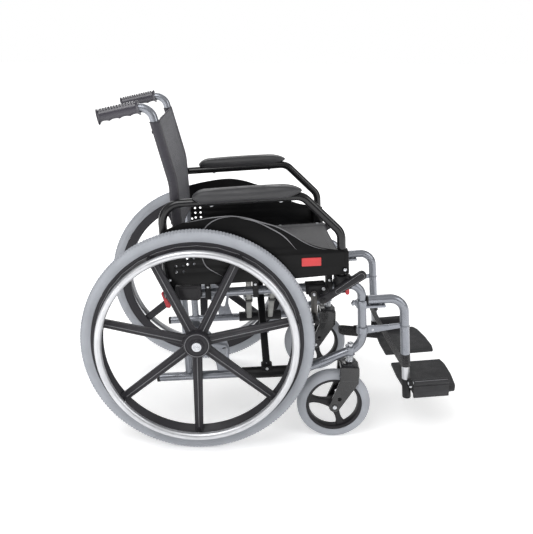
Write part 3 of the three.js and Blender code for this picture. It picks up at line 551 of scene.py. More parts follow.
def side_frame(add):
    rails = filleted([(REAR_POST_U, UPPER_V), (FRONT_POST_U, UPPER_V, 33), (FRONT_POST_U, DIAGONAL_END_V, 50),
                      (DIAGONAL_START_U, LOWER_V, 40), (RAIL_END_U, LOWER_V)], step=4)
    tubes = [sweep(in_plane(rails, FRAME_Y), circle(TUBE_R, 32)),
             rod((REAR_POST_U, FRAME_Y, LOWER_V), (REAR_POST_U, FRAME_Y, SEAT_TUBE_V - 10), CANE_R),
             rod((0, FRAME_Y - 12, 0), (0, FRAME_Y + 19, 0), 14, 1.2, bore=6.2),
             rod(*(upright(z) for z in STEM_SLEEVE_Z), 12.5, 1, bore=6.7)]
    slot = link((68, -57), (61, -86), 6.5, 6.5)
    tubes.append(slab(GUSSET, FRAME_Y - 3, FRAME_Y + 3, 1, [slot]))
    for v in (LOWER_V + TUBE_R - 1, UPPER_V - TUBE_R + 1):
        tubes.append(ring((REAR_POST_U, FRAME_Y, v), (0, 0, 1), CANE_R + 0.5, 2))
    for z in (STEM_SLEEVE_Z[0] + 1, STEM_SLEEVE_Z[1] - 1):
        tubes.append(ring(upright(z), Vector(upright(280)) - Vector(upright(240)), 12.4, 1.1))
    add("frame_tubes", joined(*tubes), RAKED, GREY_LACQUER, "frame", "frame_grey", "side_frame")

    clips, screws = [], []
    corners = [(-14.5, SEAT_TUBE_V - 4), (-14.5, UPPER_V - 13), (-9, UPPER_V - 16)]
    corners += [(-y, v) for y, v in reversed(corners)]
    side = [(FRAME_Y + y, v) for y, v in corners]
    rail_hole = hole(FRAME_Y, UPPER_V, TUBE_R)
    for u in SADDLES_U:
        seat = [(FRAME_Y + 11.8 * math.cos(a), SEAT_TUBE_V + 11.8 * math.sin(a))
                for a in (-math.pi * (0.09 + 0.82 * i / 14) for i in range(15))]
        clips.append(across(plate(seat + side, u - SADDLE_HALF, u + SADDLE_HALF, 1, [rail_hole])))
        screws.append(dome((u, FRAME_Y + 14.4, UPPER_V + 22), (0, 1, 0), 4, 2.5))
    add("saddles", joined(*clips), RAKED, PLASTIC, "frame", "black_plastic")
    plug = rod((RAIL_END_U - 2.5, FRAME_Y, LOWER_V), (RAIL_END_U + 6, FRAME_Y, LOWER_V), TUBE_R + 0.4, 1.5)
    add("rail_plug", plug, RAKED, SATIN_PLASTIC, "frame", "black_plastic")
    add("frame_screws", joined(*screws), RAKED, ZINC, "frame", "zinc")


def back_cane(add):
    tail = (CANE_TOP_U - CANE_TAIL * math.cos(GRIP_FALL), CANE_TOP_V - CANE_TAIL * math.sin(GRIP_FALL))
    line = filleted([(REAR_POST_U, SEAT_TUBE_V - 9.7), (REAR_POST_U, CANE_BEND_V, CANE_BEND_R),
                     (CANE_TOP_U, CANE_TOP_V, 34), tail], step=4)
    add("back_cane_tube", sweep(in_plane(line, FRAME_Y), circle(CANE_R, 32)), RAKED, GREY_LACQUER,
        "frame", "frame_grey", "back_cane")
    grip(add, tail)


# The grip is lofted along its own axis from the rear end: a soft square section with finger waves below,
# fine ribs on top and a flange at each end.
GRIP_LENGTH = 106
GRIP_HALF = 16.3
GRIP_WAVES = 4
GRIP_RIBS = 13


def grip_section(share):
    flange = max(0.0, 1 - share / 0.05) ** 0.6 * 4.6 + max(0.0, 1 - (1 - share) / 0.06) ** 0.6 * 3.2
    wave = abs(math.sin(math.pi * GRIP_WAVES * share)) ** 0.75
    on_rib = 0.07 < share < 0.94 and math.sin(2 * math.pi * GRIP_RIBS * (share - 0.07) / 0.87) > -0.15
    outline = []
    for i in range(56):
        angle = 2 * math.pi * i / 56
        a, b = math.cos(angle), math.sin(angle)
        size = (abs(a) ** 2.6 + abs(b) ** 2.6) ** (-1 / 2.6)
        side, up = a * size * (GRIP_HALF - 1.2 + flange * 0.8), b * size * (GRIP_HALF + flange)
        if b < -0.2:
            up += wave * 3.4 * (-b - 0.2) / 0.8
        if on_rib and b > 0.72:
            up += 3.2 * min(1, (b - 0.72) * 9)
        outline.append((side, up))
    return outline


def grip(add, tail):
    ahead = Vector((math.cos(GRIP_FALL), 0, math.sin(GRIP_FALL)))
    start = Vector((tail[0], FRAME_Y, tail[1])) - ahead * 6
    steps = 150
    line = [start + ahead * GRIP_LENGTH * i / steps for i in range(steps + 1)]
    add("push_grip", sweep(line, grip_section), RAKED, GRIP_RUBBER, "frame", "grip_rubber", "grip", sharp=30)


# ---------------------------------------------------------------- armrest
# The skirt guard's top edge follows the wheel's arc and drops to the front post.
SKIRT = [(-62, 152, 4), (74, 148), (245, 150), (348, 154, 20), (388, 155, 6), (399, 178, 8), (396, 216, 4),
         (372, 221, 60), (326, 230, 160), (291, 247, 200), (256, 272, 200), (222, 293, 200), (187, 306, 200),
         (153, 319, 200), (110, 328, 120), (64, 327, 200), (20, 322, 200), (-26, 314, 120), (-66, 297, 12),
         (-67, 210, 6)]
ARCH_REAR = [(80, 167), (61, 180), (41, 195), (31, 215), (25, 255), (38, 293), (56, 312.5), (82, 323),
             (108, 324.5)]
ARCH_FRONT = [(128, 321), (166, 310.5), (204, 290), (239, 265), (269, 228)]
HOLES_UPPER = [(-9 + 17 * i, 206 + 16 * j) for i in range(2) for j in range(3)]
HOLES_LOWER = [(-40 + 19 * i, 187 + 16 * j) for i in range(2) for j in range(2)]


def bead(points, y, radius):
    """A raised line on a panel, tapering to nothing at both ends, through given points."""
    curve = smooth_line(points, 8)
    last = len(curve) - 1
    return sweep(in_plane(curve, y), lambda t: circle(radius * min(1, 6 * t * (1 - t) + 1 / last), 10))


def smooth_line(points, steps):
    """A Catmull-Rom curve through points in a plane."""
    spots = [Vector(p) for p in points]
    spots = [2 * spots[0] - spots[1], *spots, 2 * spots[-1] - spots[-2]]
    line = []
    for a, b, c, d in zip(spots, spots[1:], spots[2:], spots[3:]):
        for k in range(steps):
            t = k / steps
            line.append(0.5 * (2 * b + (c - a) * t + (2 * a - 5 * b + 4 * c - d) * t * t
                               + (3 * b - a - 3 * c + d) * t ** 3))
    return line + [spots[-2]]


def armrest(add):
    line = filleted([(ARM_REAR_U, ARM_PIVOT_V - 11), (ARM_REAR_U, ARM_TOP_V, 50), (290, ARM_TOP_V, 40),
                     (ARM_FRONT_U, 262, 40), (ARM_FRONT_U, 137)], step=4)
    frame_tube = sweep(in_plane(line, ARM_Y), circle(ARM_R, 32))
    add("armrest_bar", frame_tube, RAKED, BLACK_LACQUER, "armrest", "black_metal", "armrest_tube")
    screws = [dome((u, ARM_Y, ARM_TOP_V - ARM_R), (0, 0, -1), 4.5, 3) for u in (62, 236)]
    screws.append(dome((389, SKIRT_Y[1] + 2.2, 168), (0, 1, 0), 4.5, 2.6))
    screws.append(dome((-58, SKIRT_Y[1] - 0.2, 166), (0, 1, 0), 3.6, 2))
    screws.append(dome((-58, SKIRT_Y[1] - 0.2, 282), (0, 1, 0), 3.6, 2))
    add("armrest_screws", joined(*screws), RAKED, ZINC, "armrest", "zinc")

    holes = [hole(u, v, 3.3) for u, v in HOLES_UPPER + HOLES_LOWER]
    panel = slab(SKIRT, SKIRT_Y[0], SKIRT_Y[1] - 0.6, 1.6, holes)
    # Painted highlight: the raised beads along both arches and the top edge are light grey, for the light
    # their ridges catch.
    lines = [bead(ARCH_REAR, SKIRT_Y[1] - 0.6, 1.5), bead(ARCH_FRONT, SKIRT_Y[1] - 0.6, 1.5)]
    lines.append(bead([(u, v - 1.6) for u, v, *_ in SKIRT[7:18]], SKIRT_Y[1] - 1, 1.2))
    add("skirt_ridges", joined(*lines), RAKED, PAINTED_HIGHLIGHT_GREY, "armrest", "black_plastic")
    wrap = rod((ARM_FRONT_U, ARM_Y, 156), (ARM_FRONT_U, ARM_Y, 219), ARM_R + 4.6, 1.5, bore=ARM_R + 0.1)
    lip = box((ARM_FRONT_U + 4, ARM_FRONT_U + 15.5), (ARM_Y - 6, SKIRT_Y[1]), (157, 217), 3)
    add("skirt_panel", joined(panel, wrap, lip), RAKED, GUARD_PLASTIC, "armrest", "black_plastic",
        "skirt_guard")
    u, v = to_raked(289.5, 521.5)
    badge = plate(rounded_rectangle(49, 22, 1.5), SKIRT_Y[1] - 0.7, SKIRT_Y[1] + 0.3, 0.3)
    badge = shifted(turned(badge, 1.0, "Y"), u, 0, v)
    add("badge", badge, RAKED, LABEL_RED, "armrest", "red")


# The pad's section is a lozenge with blunt corners, as shares of its half width and half height.
PAD_FACETS = [(0.6, -1), (0.84, -0.55), (1, 0.25), (0.97, 0.5), (0.74, 0.95), (0.62, 1),
              (-0.62, 1), (-0.74, 0.95), (-0.97, 0.5), (-1, 0.25), (-0.84, -0.55), (-0.6, -1)]


def pad_section(share):
    """Half-width, lowest and highest v of the armrest pad along its length."""
    nose = max(0.0, 1 - (1 - share) / 0.2)
    heel = max(0.0, 1 - share / 0.12)
    round_off = math.sqrt(max(0.0, 1 - nose ** 2.4)) * math.sqrt(max(0.0, 1 - heel ** 2.6))
    low = PAD_V[0] + 1 + 17 * nose ** 1.6 + 14 * heel ** 2
    high = PAD_V[1] - 2 - 16 * nose ** 2.2 - 15 * heel ** 2.2
    return (PAD_Y[1] - PAD_Y[0]) / 2 * (0.45 + 0.55 * round_off) - 2, low, high


def arm_pad(add):
    steps = 48
    middle = sum(PAD_Y) / 2
    rings = []
    for i in range(steps + 1):
        half, low, high = pad_section(i / steps)
        u = PAD_U[0] + (PAD_U[1] - PAD_U[0]) * i / steps
        tall = (high - low) / 2
        rings.append([Vector((u, middle + half * a, (low + high) / 2 + tall * b)) for a, b in PAD_FACETS])
    pad = add("arm_pad", skin(rings), RAKED, PAD_FOAM, "armrest", "pad", "armrest_pad", sharp=180)
    plump(pad, voxel=0.004, pressure=3.0, cap=0.003)
    cutter = sweep([(u, ARM_Y, ARM_TOP_V) for u in (-20, 268)] + [(310, ARM_Y, 340)], circle(ARM_R + 0.3, 32))
    carve(pad, cutter, -1 if pad.name.startswith("right") else 1)


def plump(obj, voxel, pressure, cap):
    """Swells a closed piece with a short cloth simulation, then smooths it."""
    remesh = obj.modifiers.new("remesh", "REMESH")
    remesh.mode = "VOXEL"
    remesh.voxel_size = voxel
    remesh.use_smooth_shade = True
    apply_modifiers(obj)
    rest = [v.co.copy() for v in obj.data.vertices]
    cloth = obj.modifiers.new("cloth", "CLOTH")
    cloth.settings.use_pressure = True
    cloth.settings.uniform_pressure_force = pressure
    cloth.settings.effector_weights.gravity = 0
    cloth.settings.quality = 6
    for step in range(1, 21):
        bpy.context.scene.frame_set(step)
    apply_modifiers(obj)
    bpy.context.scene.frame_set(1)
    for vertex, start in zip(obj.data.vertices, rest):
        move = vertex.co - start
        if move.length > cap:
            vertex.co = start + move * (cap / move.length)
    smooth = obj.modifiers.new("smooth", "SMOOTH")
    smooth.iterations = 2
    subdivision = obj.modifiers.new("subdivision", "SUBSURF")
    subdivision.levels = subdivision.render_levels = 1
    apply_modifiers(obj)
    obj.data.shade_smooth()


def apply_modifiers(obj):
    evaluated = obj.evaluated_get(bpy.context.evaluated_depsgraph_get())
    mesh = bpy.data.meshes.new_from_object(evaluated)
    obj.modifiers.clear()
    obj.data = mesh


def carve(obj, shape, mirror):
    """Cuts a closed shape, drawn in the raked frame, out of a piece."""
    points, faces = moved(shape, RAKED @ Matrix.Scale(mirror, 4, (0, 1, 0)))
    mesh = bpy.data.meshes.new("cutter")
    mesh.from_pydata(points, [], faces)
    work = bmesh.new()
    work.from_mesh(mesh)
    bmesh.ops.recalc_face_normals(work, faces=work.faces)
    work.to_mesh(mesh)
    work.free()
    tool = bpy.data.objects.new("cutter", mesh)
    bpy.context.scene.collection.objects.link(tool)
    cut = obj.modifiers.new("cut", "BOOLEAN")
    cut.operation = "DIFFERENCE"
    cut.object = tool
    cut.solver = "EXACT"
    apply_modifiers(obj)
    bpy.data.objects.remove(tool)
    obj.data.shade_smooth()
    obj.data.set_sharp_from_angle(angle=math.radians(50))


# ---------------------------------------------------------------- sockets, releases and brake
def front_socket(add):
    clamp_line = [(FRAME_Y - 15, UPPER_V - 15, 5), (ARM_Y - 9.3, UPPER_V - 15, 4),
                  (ARM_Y - 9.3, UPPER_V + 15, 4), (FRAME_Y - 15, UPPER_V + 15, 5)]
    clamp = across(slab(clamp_line, 366, 402, 1.5, [hole(FRAME_Y, UPPER_V, TUBE_R + CLAMP_GAP)]))
    cup = rod((ARM_FRONT_U - 1, ARM_Y, UPPER_V + 3.5), (ARM_FRONT_U - 1, ARM_Y, 149), 19.5, 2, bore=12.6)
    floor = rod((ARM_FRONT_U, ARM_Y, UPPER_V + 3.6), (ARM_FRONT_U, ARM_Y, UPPER_V + 16), 13, 1)
    rim = ring((ARM_FRONT_U - 1, ARM_Y, 147.4), (0, 0, 1), 19, 1.6)
    web = box((ARM_FRONT_U - 14, ARM_FRONT_U + 14), (FRAME_Y, ARM_Y), (UPPER_V + 2, 140), 3)
    latch = box((397, 407), (ARM_Y - 11, ARM_Y + 8), (112, 146), 3)
    add("armrest_socket", joined(clamp, cup, floor, rim, web, latch), RAKED, PLASTIC, "frame",
        "black_plastic", "front_socket")


def armrest_hinge(add):
    shell_outline = [(-48, 146, 5), (-46, 108, 9), (14, 103, 9), (20, 118, 5), (20, 146, 5)]
    shell = slab(shell_outline, FRAME_Y + 12.5, ARM_Y + 10, 2.5)
    ridge = slab([(-40, 140, 4), (-39, 112, 7), (10, 109, 7), (13, 140, 4)], ARM_Y + 8, ARM_Y + 11, 1)
    ear_line = [(-82, 104, 12), (20, 104, 4), (20, 145, 4), (-82, 145, 12)]
    ear = slab(ear_line, FRAME_Y + 12.5, FRAME_Y + 17, 1)
    add("armrest_hinge", joined(shell, ridge, ear), RAKED, SATIN_PLASTIC, "frame", "black_plastic",
        "rear_housing")
    pin = rod((ARM_REAR_U, FRAME_Y + 13, ARM_PIVOT_V), (ARM_REAR_U, ARM_Y + ARM_R, ARM_PIVOT_V), 5)
    head = dome((ARM_REAR_U, ARM_Y + ARM_R, ARM_PIVOT_V), (0, 1, 0), 7, 3)
    add("armrest_hinge_pin", joined(pin, head), RAKED, ZINC, "frame", "zinc")


def releases(add):
    y0 = ARM_Y - 8.7
    tab = plate(link((397.5, 106), (397.5, 97), 5, 5), y0, y0 + 9.5, 2)
    add("front_release_tab", tab, RAKED, RED_PLASTIC, "front_release", "red", "front_release")
    ear_y = FRAME_Y + 12
    lever_line = [(-90, 121, 5), (-79, 122, 5), (-76, 104, 20), (-66, 86, 8), (-66, 76, 5), (-77, 76, 5),
                  (-82, 92, 20)]
    lever = slab(lever_line, ear_y - 9.5, ear_y, 2.5)
    add("rear_release_lever", lever, RAKED, RED_PLASTIC, "rear_release", "red", "rear_release")


BRAKE_U = (292, 343)
BRAKE_LEVER_PIVOT = (330, 92)
BRAKE_ARM_PIVOT = (310.5, 101)
BRAKE_LEVER_Y = (241, 249)
BRAKE_LEVER_SLOPE = math.radians(31.7)
BRAKE_LEVER_NECK, BRAKE_LEVER_TIP = 44, 116.5
BRAKE_ARM_Y = (219, 227)
BRAKE_PIN_R = 4.5
BRAKE_PIN_BORE = 4.7
SHOE_R = 6
SHOE_V = 44
SHOE_U = math.sqrt((WHEEL_R + SHOE_R + 1.7) ** 2 - SHOE_V ** 2)


def brake_bracket(add):
    low, high = FRAME_Y - 15, FRAME_Y + 20
    clamp_line = [(low, UPPER_V - 13.5, 6), (high, UPPER_V - 13.5, 3), (high, UPPER_V + 13.5, 3),
                  (low, UPPER_V + 13.5, 6)]
    clamp = across(slab(clamp_line, *BRAKE_U, 1.5, [hole(FRAME_Y, UPPER_V, TUBE_R + CLAMP_GAP)]))
    cheek_line = [(294, 121, 5), (344, 121, 5), (349, 104, 8), (343, 80, 9), (330, 75, 9), (318, 84, 14),
                  (299, 90, 9)]
    cheek = slab(cheek_line, FRAME_Y + 19, FRAME_Y + 26.5, 1.2)
    head = dome((BRAKE_LEVER_PIVOT[0], BRAKE_LEVER_Y[1] + 3, BRAKE_LEVER_PIVOT[1]), (0, 1, 0), 6.5, 2.4)
    add("brake_plate", joined(clamp, cheek, head), RAKED, BLACK_STEEL, "frame", "black_metal",
        "brake_bracket")
    pin_ends = ((BRAKE_LEVER_PIVOT, BRAKE_LEVER_Y[1] + 1), (BRAKE_ARM_PIVOT, BRAKE_ARM_Y[1] + 2))
    pins = [rod((u, FRAME_Y + 20, v), (u, end, v), BRAKE_PIN_R) for (u, v), end in pin_ends]
    pins.append(dome((BRAKE_ARM_PIVOT[0], BRAKE_ARM_Y[1] + 1, BRAKE_ARM_PIVOT[1]), (0, 1, 0), 4.4, 2.6))
    pins.append(dome((336, FRAME_Y + 26.3, 112), (0, 1, 0), 4.8, 3.2))
    add("brake_screws", joined(*pins), RAKED, ZINC, "frame", "zinc")


def brake_lever(add):
    low, high = BRAKE_LEVER_Y
    slope = Vector((math.cos(BRAKE_LEVER_SLOPE), math.sin(BRAKE_LEVER_SLOPE)))
    heel = Vector(BRAKE_LEVER_PIVOT)
    neck, tip = heel + slope * BRAKE_LEVER_NECK, heel + slope * BRAKE_LEVER_TIP
    shank = plate(link(heel, neck, 10, 9.5), low, high, 1.5, [hole(*heel, BRAKE_PIN_BORE)])
    handle = plate(link(neck - slope * 8, tip, 9, 12, 16), low - 1, high + 3, 2.5)
    boss = rod((heel.x, BRAKE_ARM_Y[1] + 1, heel.y), (heel.x, low + 1, heel.y), 8, bore=BRAKE_PIN_BORE)
    add("brake_handle", joined(shank, handle, boss), RAKED, SATIN_PLASTIC, "brake_lever", "black_plastic",
        "brake_lever")
    # Painted highlight: a thin light-grey line along the handle's raised outline.
    outline = sweep(in_plane(link(neck, tip - slope * 2, 5.5, 8, 16), high + 2.8), circle(0.5, 8), loop=True)
    add("brake_handle_outline", outline, RAKED, PAINTED_HIGHLIGHT_GREY, "brake_lever", "black_plastic")


def brake_arm(add):
    u, v = BRAKE_ARM_PIVOT
    back, front = BRAKE_ARM_Y
    arm = plate(link((u, v), (SHOE_U, SHOE_V), 7.8, 7.8), back, front, 1.5, [hole(u, v, BRAKE_PIN_BORE)])
    rib = plate(link((u, v - 16), (SHOE_U, SHOE_V + 10), 3.5, 3.5), front - 1, front + 1.5, 1)
    add("brake_link", joined(arm, rib), RAKED, REFLECTION_LIT_STEEL, "brake_arm", "black_metal", "brake_arm")
    shoe = rod((SHOE_U, front - 1, SHOE_V), (SHOE_U, WHEEL_Y + TYRE_HALF, SHOE_V), SHOE_R, 1)
    knurl = [rod((SHOE_U + 5.4 * math.cos(a), 241, SHOE_V + 5.4 * math.sin(a)),
                 (SHOE_U + 5.4 * math.cos(a), 274, SHOE_V + 5.4 * math.sin(a)), 1.1, 0.3, 8)
             for a in (math.radians(24 * i) for i in range(15))]
    add("brake_shoe", joined(shoe, *knurl), RAKED, PLASTIC, "brake_arm", "black_plastic")


# ---------------------------------------------------------------- main wheel, in its own upright frame
TREAD_BLOCKS = 220
SPOKE_TURNS = [-math.degrees(FIRST_SPOKE) - 360 / SPOKES * i for i in range(SPOKES)]


def spoke_section(share):
    """Across the spoke: a flat back and a raised ridge in front, flaring into the hub and the rim."""
    width = 27 - 5 * share + 8 * max(0, 1 - share * 12) ** 1.5 + 5 * max(0, 1 - (1 - share) * 26) ** 1.5
    back, front, ridge = -6, 6.5, 11 - 2.5 * share
    half = width / 2
    return [(back, -half + 2.5), (back + 2, -half), (front - 3, -half), (front, -half + 3), (front + 0.3, -5),
            (ridge - 0.8, -2.8), (ridge, -1.6), (ridge, 1.6), (ridge - 0.8, 2.8), (front + 0.3, 5),
            (front, half - 3), (front - 3, half), (back + 2, half), (back, half - 2.5)]


def main_wheel(add):
    y = WHEEL_Y
    inner, outer = RIM_R
    rim = revolve([(RIM_SHELF_R, y - 9), (RIM_SHELF_R, y - 11.6), (RIM_SHELF_R + 1.4, y - 13),
                   (outer - 2.2, y - 13.4), (outer - 0.6, y - 13.2), (outer, y - 12.2), (outer, y + 12.2),
                   (outer - 0.6, y + 13.2), (outer - 2.2, y + 13.4), (inner + 4, y + 12.6),
                   (inner + 1.4, y + 11.6), (inner, y + 9.5)], 192)
    hub = revolve([(6.3, FRAME_Y + 20.2), (18.6, FRAME_Y + 20.2), (20, FRAME_Y + 21.5), (23, y - 18),
                   (HUB_R - 2.5, y - 11), (HUB_R, y - 8.5), (HUB_R, y + 19.5), (HUB_R - 0.8, y + 21.4),
                   (HUB_R - 2.5, y + 22.2), (HUB_R - 5.5, y + 22.2), (HUB_R - 7.5, y + 20.4), (20, y + 20.4),
                   (18.2, y + 22), (17.2, y + 26), (15.8, y + 27), (6.3, y + 27)], 96)
    parts = [rim, hub]
    # Painted highlights: light-grey rings on the hub's face and the rim's lip, and a thin light-grey line
    # along each spoke's ridge.
    highlights = [ring((0, y + 22.3, 0), (0, 1, 0), HUB_R - 4, 0.9),
                  ring((0, y + 13, 0), (0, 1, 0), inner + 4.4, 0.7)]
    start, end, steps = HUB_R - 12, inner + 1, 40
    for degrees in SPOKE_TURNS:
        line = [(start + (end - start) * k / steps, y, 0) for k in range(steps + 1)]
        spoke = sweep(line, spoke_section)
        boss = rod((end - 12, y + 3, 0), (end - 12, y + 10.5, 0), 8, 2)
        parts.append(turned(joined(spoke, boss), degrees, "Y"))
        crest = rod((HUB_R + 4, y + 11, 0), (inner - 6, y + 8.7, 0), 0.9, 0.3, 12)
        highlights.append(turned(crest, degrees, "Y"))
    add("spoked_wheel", joined(*parts), WHEEL, WHEEL_NYLON, "wheel", "wheel_plastic", "wheel", sharp=32)
    add("wheel_edges", joined(*highlights), WHEEL, PAINTED_HIGHLIGHT_GREY, "wheel", "wheel_plastic")


def tyre(add):
    """A grey solid tyre whose crown is cut into blocks, with a fine groove round its middle."""
    inner = RIM_R[1] + 0.3
    side = [(inner, -13.2), (inner + 3, -14.6), (inner + 9, -16.4), (inner + 15, -16.8), (inner + 20, -15.6),
            (inner + 22.6, -13.6)]
    crown = [(-13, 23.6), (-10.4, 25), (-6.2, 26.1), (-2.6, 26.5), (-2.2, 26.5), (0, 26.5), (2.2, 26.5),
             (2.6, 26.5), (6.2, 26.1), (10.4, 25), (13, 23.6)]
    rings = []
    for i in range(5 * TREAD_BLOCKS):
        angle = 2 * math.pi * i / (5 * TREAD_BLOCKS)
        on_block = i % 5 < 3
        profile = list(side)
        for y, rise in crown:
            slit = 0 if on_block and abs(y) > 2.4 else 0.8 + abs(y) / 7
            profile.append((inner + rise + 2.6 - slit, y))
        profile += [(r, -y) for r, y in reversed(side)]
        rings.append([Vector((r * math.cos(angle), WHEEL_Y + y, r * math.sin(angle))) for r, y in profile])
    add("solid_tyre", skin(rings, loop=True), WHEEL, TYRE_RUBBER, "wheel", "tyre_grey", "tyre", sharp=40)


def hand_rim(add):
    tube = revolve([(HAND_RIM_R + a, HAND_RIM_Y + b) for a, b in circle(HAND_RIM_TUBE, 28)], 192)
    add("hand_rim_hoop", tube, WHEEL, ALUMINIUM, "wheel", "aluminium", "hand_rim")
    tabs, screws = [], []
    for degrees in SPOKE_TURNS:
        tab = rod((258, WHEEL_Y + 12, 0), (255, HAND_RIM_Y - 7, 0), 6, 1.5, 20)
        foot = rod((258.5, WHEEL_Y + 11.5, 0), (258, WHEEL_Y + 17, 0), 8.5, 1.5, 20)
        tabs.append(turned(joined(tab, foot), degrees, "Y"))
        head = dome((HAND_RIM_R - 8.8, HAND_RIM_Y - 3, 0), (-1, -0.3, 0), 2.2, 1.4)
        screws.append(turned(head, degrees, "Y"))
    add("hand_rim_standoffs", joined(*tabs), WHEEL, SATIN_PLASTIC, "wheel", "wheel_plastic")
    add("hand_rim_screws", joined(*screws), WHEEL, ZINC, "wheel", "zinc")


def axle(add):
    """The quick-release axle, with its cap outside and its nut inside."""
    y = WHEEL_Y
    pin = rod((0, FRAME_Y - 15, 0), (0, y + 30, 0), 6, 0.8)
    cap = revolve([(0, y + 27.4), (12.4, y + 27.4), (13, y + 28), (13, y + 30.6), (12.2, y + 31.8),
                   (8.6, y + 32), (7.8, y + 31), (4, y + 31), (3.4, y + 32), (0, y + 32)], 48)
    slots = [turned(box((-1.1, 1.1), (y + 30.8, y + 32.3), (-6.8, 6.8), 0.5), d, "Y") for d in (0, 90)]
    nut = rod((0, FRAME_Y - 14.8, 0), (0, FRAME_Y - 12.3, 0), 10, 0.6, sides=6, bore=6.1)
    add("quick_release_axle", joined(pin, cap, nut, *slots), WHEEL, ZINC, "frame", "zinc", "axle")


# ---------------------------------------------------------------- caster, round its own axle
FORK_HALF = 27
FORK_TOP = 223 - CASTER_Z
STEM = STEM_X - CASTER_X


def caster(add):
    y = FRAME_Y
    blade_line = [(11, FORK_TOP - 8, 6), (60, FORK_TOP - 8, 6), (61, 72, 10)]
    blade_line += [(15.5 * math.cos(a), 15.5 * math.sin(a)) for a in (-0.62 - 0.35 * i for i in range(9))]
    blade_line += [(9.5, 72, 10)]
    blade = filleted(blade_line, closed=True)
    holes = [hole(0, 0, 5.2), hole(12, 24, 5)]
    arms = [plate(blade, y + s * 23.25 - 3.75, y + s * 23.25 + 3.75, 2, holes) for s in (-1, 1)]
    head_line = [(12, 76, 6), (8.5, 92, 16), (9.5, FORK_TOP, 11), (60.5, FORK_TOP, 11), (62, 92, 16),
                 (59.5, 76, 6)]
    shoulders = [slab(head_line, y + s * 23.6 - 6, y + s * 23.6 + 6, 5) for s in (-1, 1)]
    bridge = rod((STEM, y, FORK_TOP - 15.5), (STEM, y, FORK_TOP), 25, 5, 48, bore=6.7)
    spine = box((12, 59), (y - 24, y + 24), (FORK_TOP - 15.5, FORK_TOP - 1), 4)
    add("fork", joined(*arms, *shoulders, bridge, spine), CASTER, FORK_BLACK, "caster_swivel", "black_metal",
        "caster_fork")

    stem_z = 209 - CASTER_Z
    bolt = rod((STEM, y, stem_z), (STEM, y, 279 - CASTER_Z), 6.5, 0.8)
    nut = rod((STEM, y, FORK_TOP + 0.3), (STEM, y, FORK_TOP + 8), 11, 1.2, 6)
    washers = []
    for i in range(3):
        low = FORK_TOP + 8 + 4.2 * i
        washers.append(rod((STEM, y, low), (STEM, y, low + 3.6), 9.5 + i % 2, 0.9))
    cap = dome((STEM, y, STEM_SLEEVE_Z[1] + 4.5 - CASTER_Z), (0, 0, 1), 8.5, 7)
    add("fork_stem", joined(bolt, nut, *washers, cap), CASTER, ZINC, "caster_swivel", "zinc",
        "caster_stem", sharp=30)
    pin = rod((0, y - FORK_HALF - 2, 0), (0, y + FORK_HALF + 2, 0), 5, 0.6)
    heads = [dome((0, y + s * (FORK_HALF + 0.3), 0), (0, s, 0), 6, 4) for s in (-1, 1)]
    add("fork_axle", joined(pin, *heads), CASTER, ZINC, "caster_swivel", "zinc", "caster_axle")

    rim = revolve([(66.4, y), (67, y - 9), (68.5, y - 11.6), (71, y - 12.4), (75.4, y - 12.8), (76, y - 12),
                   (76, y + 12), (75.4, y + 12.8), (71, y + 12.4), (68.5, y + 11.6), (67, y + 9)], 96)
    hub = rod((0, y - 18.5, 0), (0, y + 18.5, 0), 15, 1.5, 48, bore=5.2)
    parts = [rim, hub]
    for degrees in (170, 50, -70):
        line = [(10 + 58 * k / 20, y, 0) for k in range(21)]
        parts.append(turned(sweep(line, caster_spoke), -degrees, "Y"))
    add("caster_hub", joined(*parts), CASTER, SATIN_PLASTIC, "caster_wheel", "black_plastic",
        "caster_rim", sharp=32)
    inner = 76.3
    half = [(inner, -13.6), (inner + 4, -14.4), (inner + 9, -15), (inner + 15, -14.2), (inner + 19.6, -11.6),
            (inner + 22.4, -7.4), (inner + 23.1, -5.2), (inner + 22.4, -4.6), (inner + 22.4, -3.6),
            (inner + 23.3, -3)]
    band = revolve([(r, y + o) for r, o in half] + [(r, y - o) for r, o in reversed(half)], 128)
    add("caster_tread", band, CASTER, TYRE_RUBBER, "caster_wheel", "tyre_grey", "caster_tyre")


def caster_spoke(share):
    """Across a caster spoke, which spreads into the hub and the rim."""
    half = 6.4 + 7 * (1 - share) ** 3 + 9 * share ** 5
    thick = 8 - 1.5 * share
    return rounded_rectangle(2 * thick, 2 * half, 2.5)


# ---------------------------------------------------------------- footrest
FLAP_P = (15, 109)
FLAP_Q = -81
PLATE_TOP_Q = -110
PLATE_HINGE_Y = 208
COLLAR_R = 12.6
STRAP_WIDTH = 36
HANGER_RINGS = ((43, 65), (-31, -11))


